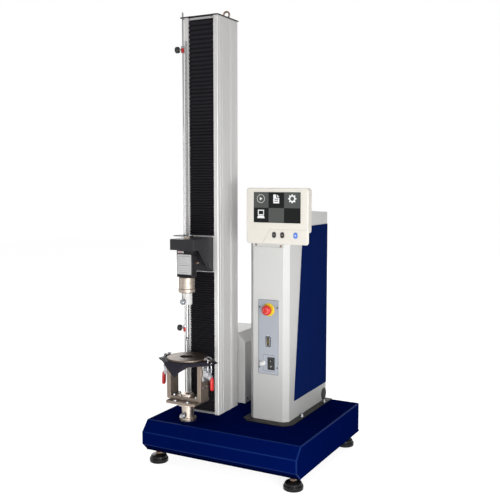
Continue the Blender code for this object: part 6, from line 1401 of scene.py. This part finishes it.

# %% [markdown]
# ## Coupling, sleeve and probe
# All of these are lathe work, so each is a profile turned about the loading axis. The coupling
# has a fine groove, the ring nut a bevel and spanner holes, and the probe ends in a ball above
# which it is necked. The spanner holes, the pin holes and the neck are shown by near-black plugs
# and a ring: painted shade. A cross pin with a knurled head holds the sleeve.

# %% Turned parts under the load cell
def on_axis(shape, z=0.0, facing=UP):
    """Puts a shape on the loading axis, at a height."""
    return placed(shape, (AXIS_X, AXIS_Y, z), facing)


def pin_parts(host, tip):
    """A cross pin: a head with a fluted wall, and a shank from its tip to the head."""
    start = host + 0.0022
    head = eased(mm((0, 0), (6.8, 0), (8.5, 1.2), (8.5, 9.8), (6.8, 11.8), (6, 13), (0, 12.8))
                 + (0, start), 0.0006, 3, False)
    shank = [(0, tip), (0.0026, tip), (0.003, tip + 0.0006), (0.003, start), (0, start)]
    return fluted(head, 20, 0.045, 160), lathe(shank, 0.0002, 2, 28)


def hole_shade_plug(host, radius):
    """A bore's mouth as painted shade: a dark plug standing a tenth of a mm out of a round part."""
    out = host + 0.0001
    return lathe([(0, out - 0.004), (radius, out - 0.004), (radius, out),
                  (radius * 0.72, out - 0.0006), (0, out - 0.0012)], 0.0001, 2, 28)


def facing_round(angle):
    """Turns a shape's own axis to point level, at this angle from +x."""
    c, s = math.cos(angle), math.sin(angle)
    return np.array([[-s, c, 0], [0, 0, 1], [c, s, 0]])


stock("coupling_nickel", "nickel_steel", "", "satin_nickel_coupling", (0.375, 0.325, 0.285), 0.50, 2600,
      8e-6, 0.12, 1.0, RINGS, swing=0.08, centre=ON_AXIS, wear=0.2, darker=(0.31, 0.26, 0.22))
low, high = corners_of("upper_coupling")
foot, top = low[2], high[2]
body = [(0, top), (0.0237, top), (0.0252, top - 0.0015), (0.0252, foot + 0.0190),
        (0.0248, foot + 0.0186), (0.0248, foot + 0.0180), (0.0252, foot + 0.0176),
        (0.0252, foot + 0.0006), (0.0246, foot), (0, foot)]
piece("upper_coupling_body", "coupling_nickel", "crosshead", [on_axis(lathe(body, 0.0003, 3, 96))],
      ["upper_coupling"], sharp=40)
low, high = corners_of("coupling_ring")
ring = [(0.0133, low[2]), (0.0240, low[2]), (0.0262, low[2] + 0.0022), (0.0262, high[2] - 0.0012),
        (0.0250, high[2]), (0.0133, high[2])]
piece("coupling_ring_nut", "coupling_nickel", "coupling_nut",
      [on_axis(lathe(ring, 0.0004, 3, 96, True))], ["coupling_ring"], sharp=40)
piece("coupling_ring_spanner_hole_shades", "bore", "coupling_nut",
      [on_axis(hole_shade_plug(0.0262, 0.0024), (low[2] + high[2]) / 2, facing_round(math.radians(angle)))
       for angle in (-48, 72, 192)])

SLEEVE_TOP, PIN_HEIGHT = 0.5509, 0.5239
low = corners_of("probe_sleeve")[0][2]
sleeve = [(0, SLEEVE_TOP), (0.0156, SLEEVE_TOP), (0.0166, SLEEVE_TOP - 0.001), (0.0166, low + 0.0012),
          (0.0154, low), (0, low)]
piece("probe_sleeve_body", "white_plastic", "crosshead", [on_axis(lathe(sleeve, 0.0004, 3, 72))],
      ["probe_sleeve"], sharp=40)
piece("probe_sleeve_pin_hole", "bore", "crosshead", [on_axis(hole_shade_plug(0.0166, 0.0034), PIN_HEIGHT, FRONT)])
piece("sleeve_pin_head", "blue_grey", "probe_pin",
      [on_axis(part, PIN_HEIGHT, FRONT) for part in pin_parts(0.0166, 0.0066)], ["sleeve_pin"])

low, high = corners_of("puncture_probe")
tip, ball = low[2], np.radians(np.linspace(58, -90, 22))
ball = np.column_stack([0.005 * np.cos(ball), tip + 0.005 + 0.005 * np.sin(ball)])
ball[-1, 0] = 0.0
shaft = [(0, high[2]), (0.0044, high[2]), (0.0048, high[2] - 0.0005), (0.0048, tip + 0.0128),
         (0.0039, tip + 0.0118), (0.0039, tip + 0.0098)]
piece("puncture_probe_shaft", "chrome", "crosshead", [on_axis(turned(np.vstack([shaft, ball]), 56))],
      ["puncture_probe"], sharp=35)
# A dark ring inside the probe's neck: painted shade in the groove.
piece("puncture_probe_neck_shade", "bore", "crosshead",
      [on_axis(hoop(0.0036, 0.0044, 0, 0.0012, 0.0002, 2, 40), tip + 0.0101)])
print("probe tip at", round(float(tip), 4))

# %% [markdown]
# ## The puncture fixture
# The lower fixture is nickel-plated steel: a stem with a slotted ring nut, a base plate, and a
# bar bent up into two uprights under a round seat. The ring nut's slots come from its outline,
# where the radius steps in over each slot's angle.

# %% Stem, ring nut, plate and frame
low, high = corners_of("fixture_stem")
top, STEM_PIN = high[2], 0.1618
stem = [(0, top), (0.0300, top), (0.0310, top - 0.001), (0.0310, top - 0.009), (0.0300, top - 0.010),
        (0.0210, top - 0.010), (0.0190, top - 0.012), (0.0190, DECK + 0.0002), (0.0125, DECK + 0.0002),
        (0.0125, low[2] + 0.001), (0.0115, low[2]), (0, low[2])]
piece("fixture_stem_body", "nickel", "machine", [on_axis(lathe(stem, 0.0004, 3, 88))], ["fixture_stem"],
      sharp=40)
piece("fixture_stem_pin_hole", "bore", "machine", [on_axis(hole_shade_plug(0.0190, 0.0034), STEM_PIN, FRONT)])
piece("fixture_pin_head", "blue_grey", "stem_pin",
      [on_axis(part, STEM_PIN, FRONT) for part in pin_parts(0.0190, 0.0090)], ["fixture_pin"])

low, high = corners_of("base_lock_ring")
sixth = np.pi / 3
angle = np.linspace(0, 2 * np.pi, 144, endpoint=False) + sixth / 2
slot_half = math.asin(0.003 / 0.027) / (sixth / 2)
off_slot = np.abs((angle - sixth / 2) % sixth - sixth / 2) / (sixth / 2)
in_slot = 1 / (1 + np.exp((off_slot - (1 - slot_half)) * -60))
radius, height, slotted = np.array([
    (0.0193, low[2], 0), (0.0236, low[2], 0.4), (0.0262, low[2] + 0.003, 1),
    (0.0270, low[2] + 0.0045, 1), (0.0270, high[2] - 0.0012, 1), (0.0262, high[2] - 0.0002, 1),
    (0.0250, high[2], 1), (0.0193, high[2], 0)]).T[..., None]
reach = radius - slotted * 0.003 * in_slot
grid = np.stack([reach * np.cos(angle), reach * np.sin(angle), np.broadcast_to(height, reach.shape)], -1)
piece("base_lock_ring_nut", "nickel", "lock_nut", [on_axis(skin(grid, wrap_rows=True))],
      ["base_lock_ring"], sharp=35)

low, high = corners_of("fixture_base_plate")
spots = [(AXIS_X + x, AXIS_Y + y) for x in (-0.0235, 0.0235) for y in (-0.038, 0.038)]
piece("fixture_base_plate_slab", "nickel_plate", "machine",
      [slab(rectangle(*low[:2], *high[:2]), 0.002, high[2] - low[2], 0.0007, (0, 0, low[2]), UP,
            [round_hole(0.0033, spot, 24) for spot in spots])], ["fixture_base_plate"])
washer = turned(mm((3, 0), (6.2, 0), (6.2, 0.8), (3, 0.8)), 32, True)
piece("fixture_base_plate_screws", "zinc", "machine",
      [placed(part, (*spot, high[2])) for part in (cap_screw(0.005, 0.0032), washer) for spot in spots])

WEB, WEB_TOP, SEAT, SEAT_TOP, LEG, BEND = 0.2099, 0.2203, 0.3315, 0.3395, 0.0635, 0.0497
section = [(-LEG, WEB), (LEG, WEB), (LEG, SEAT + 0.001), (BEND, SEAT + 0.001), (BEND, WEB_TOP),
           (-BEND, WEB_TOP), (-BEND, SEAT + 0.001), (-LEG, SEAT + 0.001)]
section = eased(np.array(section) + (AXIS_X, 0), mm(4, 4, 0.4, 0.4, 2.2, 2.2, 0.4, 0.4), 5)
seat = [round_hole(0.0625, ON_AXIS[:2], 96), round_hole(0.0230, ON_AXIS[:2], 64)]
piece("fixture_frame_bent", "nickel_plate", "machine",
      [cut([section], 0.046, 0.0007, (0, AXIS_Y + 0.023, 0), FRONT),
       cut(seat, SEAT_TOP - SEAT, 0.0008, (0, 0, SEAT))], ["fixture_frame"], sharp=35)
boss = lathe(mm((8, 0), (21.5, 0), (21.5, 5.6), (20.3, 6.8), (8, 6.8)), 0.0004, 3, 72, True)
piece("fixture_web_boss", "nickel", "machine", [on_axis(boss, WEB_TOP)])
copies("fixture_web_screws", "zinc", "machine", cap_screw(0.0044, 0.005),
       [(AXIS_X + x, AXIS_Y + y, WEB_TOP) for x in (-0.041, 0.041) for y in (-0.015, 0.015)])
piece("fixture_frame_side_screws", "zinc", "machine",
      [placed(cap_screw(0.0032, 0.0016), (AXIS_X + x, AXIS_Y + y, 0.2555), way)
       for x, way in ((-LEG, LEFT), (LEG, RIGHT)) for y in (-0.011, 0.011)])
print("frame outline points:", len(section))

# %% [markdown]
# ## Clamp ring and specimen
# The ring clamps the film on the seat. It's a disc with a hole, and an ear on each side for the
# latch hooks. The film is a square that was cut flat and laid cornerwise. Its free corners hang
# down, so each corner is bent about straight fold lines: a point this far beyond the ring is
# carried round an arc, and its slope grows evenly. Bending this way leaves its lengths as cut.

# %% Clamp ring
stock("ring_plate", "nickel_steel", "", "lapped_nickel_ring", (0.125, 0.098, 0.078), 0.42, 1800, 6e-6,
      0.16, 0.9, RINGS, centre=ON_AXIS, wear=0.2)
low, high = corners_of("clamp_ring")
RING, EAR_TIP, EAR_HALF = 0.0650, 0.0875, 0.0070
ear = math.asin(EAR_HALF / RING)
ring_line = []
for side, out in ((0.0, -1), (np.pi, 1)):
    turn = np.linspace(side + ear, side + np.pi - ear, 49)
    ring_line.append(np.column_stack([RING * np.cos(turn), RING * np.sin(turn)]))
    tip = out * np.array([[EAR_TIP, EAR_HALF], [EAR_TIP, -EAR_HALF], [RING * math.cos(ear), -EAR_HALF]])
    ring_line.append(eased(np.vstack([ring_line[-1][-1:], tip]), 0.003, 5, False)[1:-1])
ring_line = np.vstack(ring_line) + (AXIS_X, AXIS_Y)
ring = plate([ring_line, round_hole(0.0230, ON_AXIS[:2], 64)], rim(high[2] - low[2], 0.001, 4))
piece("clamp_ring_disc", "ring_plate", "machine", [placed(ring, (0, 0, low[2]))], ["clamp_ring"], sharp=35)
print("clamp ring outline points:", len(ring_line))

# %% Film
FOLDS = [((0, -1), RING, 50, 1200), ((0, 1), RING, 50, 1200), ((-1, 0), RING, 5, 320),
         ((1, 0), RING, 2, 60)]
CORNERWISE = math.sqrt(0.5)


def bent_down(x, y, z):
    """Carries points of the flat film round its folds. Each fold has a direction, how far out
    it lies, the slope reached over its first 4 mm, and how fast that slope grows further out."""
    for (u, v), edge, first, growth in FOLDS:
        along, across = u * x + v * y, u * y - v * x
        beyond = np.maximum(along - edge, 0.0)
        start, rate = np.radians(first) * np.minimum(1.0, beyond / 0.004), math.radians(growth)
        last = start + rate * beyond
        moved = edge + (np.sin(last) - np.sin(start)) / rate + z * np.sin(last)
        drop = (np.cos(last) - np.cos(start)) / rate + z * np.cos(last)
        z, along = np.where(beyond > 0, drop, z), np.where(beyond > 0, moved, along)
        x, y = u * along - v * across, v * along + u * across
    return x, y, z


def drooped(x, y, z):
    """Lets the strips between the corners sag: a point this far beyond the ring along the
    diagonal sinks by up to 0.86 of that, less near the corner, and is drawn in to match."""
    for u, v, share in ((1, -1, 0.86), (-1, -1, 0.50), (1, 1, 0.30), (-1, 1, 0.30)):
        beyond = np.maximum((u * x + v * y) * CORNERWISE - 0.0655, 0.0)
        fade = np.clip((0.113 - u * x) / 0.022, 0, 1)
        sag = share * beyond ** 2 / (beyond + 0.003) * fade * fade * (3 - 2 * fade)
        drawn = (beyond - np.sqrt(beyond ** 2 - sag ** 2)) * CORNERWISE
        x, y, z = x - u * drawn, y - v * drawn, z - sag
    return x, y, z


def creased(shape, lines):
    """Splits a flat shape's faces along straight lines, so that it can bend there. A line is
    the direction that it crosses and how far out it lies that way."""
    made = bmesh.new()
    corners = [made.verts.new(point) for point in shape[0]]
    for face in shape[1]:
        made.faces.new([corners[k] for k in face])
    for (u, v), at in lines:
        bmesh.ops.bisect_plane(made, geom=made.verts[:] + made.edges[:] + made.faces[:], dist=1e-7,
                               plane_co=(at * u, at * v, 0.0), plane_no=(u, v, 0.0))
    made.verts.index_update()
    points = np.array([vertex.co for vertex in made.verts])
    faces = [[vertex.index for vertex in face.verts] for face in made.faces]
    made.free()
    return points, faces


FILM_LOW, FILM_HIGH, half = 0.3398, 0.3410, 0.0800 * math.sqrt(2)
film_loops = [eased([(0, -half), (half, 0), (0, half), (-half, 0)], 0.0012, 3), round_hole(0.0085, steps=40)]
for side in (-1, 1):
    for end in (-1, 1):
        slot = np.array(rectangle(0.0776, -0.0039, 0.0947, 0.0039)) * (side, 1) + (0, end * 0.0103)
        film_loops.append(eased(slot[::side], 0.0012, 3))
lines = [(way, edge + reach) for way, edge, _, _ in FOLDS
         for reach in (*np.arange(0, 0.0041, 0.0008), *np.arange(0.0055, 0.048, 0.0015))]
lines += [(way, at) for way in ((1, 0), (0, 1)) for at in np.arange(-0.06, 0.061, 0.006)]
lines += [((u * CORNERWISE, v * CORNERWISE), 0.0655 + reach) for u in (-1, 1) for v in (-1, 1)
          for reach in np.arange(0, 0.014, 0.0012)]
points, faces = creased(plate(film_loops, rim(FILM_HIGH - FILM_LOW, 0.0002, 1)), lines)
points[:, 2] -= (FILM_HIGH - FILM_LOW) / 2
points = np.stack(drooped(*bent_down(*points.T)), -1) + (AXIS_X, AXIS_Y, (FILM_LOW + FILM_HIGH) / 2)
sheet = piece("specimen_film", "sheet", "machine", [(points, faces)], ["specimen_sheet"], sharp=60)
print("film, lowest point", round(float(points[:, 2].min()), 4))

# %% [markdown]
# ## Latches
# A toggle latch on each side pulls the ring down. A bracket with two ears carries the handle's
# pivot, and a wire loop goes from the handle up through the film's slots and over the ring's
# ear. The grip is dipped vinyl, so its section is a rounded box that swells towards the end.

# %% Latch brackets, handles and hooks
def grip(side, width, length, thickness, steps=22):
    """A dipped grip: every row is a rounded rectangle, |x/a|^n + |y/b|^n = 1 with n = 3, and the
    rows swell towards the middle and close at the ends."""
    share = np.linspace(0, 1, steps)
    swell = (1 - np.abs(2 * share - 1) ** 7) ** 0.5 * (0.90 + 0.14 * np.sin(share * np.pi * 0.8))
    swell, share = np.maximum(swell, 0.02)[:, None], share[:, None]
    turn = np.linspace(0, 2 * np.pi, 36, endpoint=False)
    x, y = (np.sign(wave) * np.abs(wave) ** (2 / 3) * size / 2
            for wave, size in ((np.cos(turn), thickness), (np.sin(turn), width)))
    return skin(np.stack([swell * x + side * 0.0012 * share ** 2, swell * y,
                          np.broadcast_to(-share * length, (steps, 36))], -1))


BAR = turned(eased(mm((0, -15.7), (3.4, -15.7), (3.4, -14.9), (2.5, -14.7), (2.5, 14.7), (3.4, 14.9),
                      (3.4, 15.7), (0, 15.7)), 0.0002, 2, False), 28)
WIRE_X, WIRE_Y = 0.0815, 0.0103
for label, side in (("left", -1), ("right", 1)):
    handle, pivot = label + "_handle", np.array([AXIS_X + side * 0.0745, AXIS_Y, 0.3020])

    def side_view(radius, steps, at, *rows):
        """An outline in the XZ plane, with its corners eased. The left latch's is the right
        one's mirror, taken the other way round."""
        outline = mm(*rows)
        return [eased((outline if side > 0 else (outline * (-1, 1))[::-1]) + at, radius, steps)]

    ear = side_view(mm(0.2, 4, 4, 0.2), 4, (AXIS_X, 0), (63.8, 290), (79.5, 294), (79.5, 310), (63.8, 314))
    strip = side_view(0.0003, 2, (AXIS_X, 0), (63.8, 275), (66.3, 275), (66.3, 325), (63.8, 325))
    piece("latch_bracket_" + label, "zinc", "machine",
          [cut(strip, 0.0294, 0.0008, (0, AXIS_Y + 0.0147, 0), FRONT),
           *(cut(ear, 0.002, 0.0004, (0, AXIS_Y + y, 0), FRONT) for y in (0.0147, -0.0127))],
          ["latch_base_" + label])
    copies("latch_bracket_screws_" + label, "steel", "machine", pan_screw(0.0024, 0.0013),
           [(AXIS_X + side * 0.0663, AXIS_Y + y, z) for y in (-0.008, 0.008) for z in (0.28, 0.32)],
           RIGHT if side > 0 else LEFT)
    lever = side_view(0.0014, 3, pivot[[0, 2]], (-5.8, 1), (-5.8, -4), (-2.6, -15.6), (5.2, -17.9),
                      (12.15, -22), (18.25, -22), (18.25, -16), (6.8, 1), (2, 5.8), (-3, 4.8))
    spine = side_view(0.0006, 2, pivot[[0, 2]], (4, -20), (12, -22.5), (18.2, -22.5), (18.2, -16),
                      (6.2, -1), (4.6, -1), (12, -14))
    piece("latch_lever_" + label, "zinc", handle,
          [*(cut(lever, 0.0018, 0.0004, (0, AXIS_Y + y, 0), FRONT) for y in (0.005, -0.0032)),
           cut(spine, 0.0096, 0.0004, (0, AXIS_Y + 0.0048, 0), FRONT), placed(BAR, pivot, FRONT)],
          ["latch_handle_" + label])
    piece("latch_grip_" + label, "red_vinyl", handle,
          [placed(grip(side, 0.015, 0.0455, 0.0088), pivot + (side * 0.0152, 0, -0.0115))], sharp=60)
    legs = mm((77.7, 289.9), (WIRE_X * 1000, 302), (WIRE_X * 1000, 344.2), (80.15, 347.4), (77, 348.7),
              (68.5, 348.7))
    loop = np.array([(x, WIRE_Y, z) for x, z in legs] + [(x, -WIRE_Y, z) for x, z in legs[::-1]])
    loop = eased(loop, mm(3, 8, 8, 3, 3, 3, 3, 8, 8, 3, 3, 3), 6) * (side, 1, 1) + (AXIS_X, AXIS_Y, 0)
    fittings = [placed(part, (AXIS_X + side * WIRE_X, AXIS_Y + y, z)) for y in (-WIRE_Y, WIRE_Y)
                for part, z in ((threaded(0.00235, 0.002, 11, 0.0, 18), 0.3053),
                                (hexagon(0.0062, 0.0026, 0.0003), 0.3103))]
    piece("latch_wire_" + label, "zinc", label + "_hook",
          [bar(loop, 0.0019, 14, (0.0, 0.02, 1.0), True), *fittings], ["latch_hook_" + label], sharp=50)
print("pieces so far:", len(MADE))
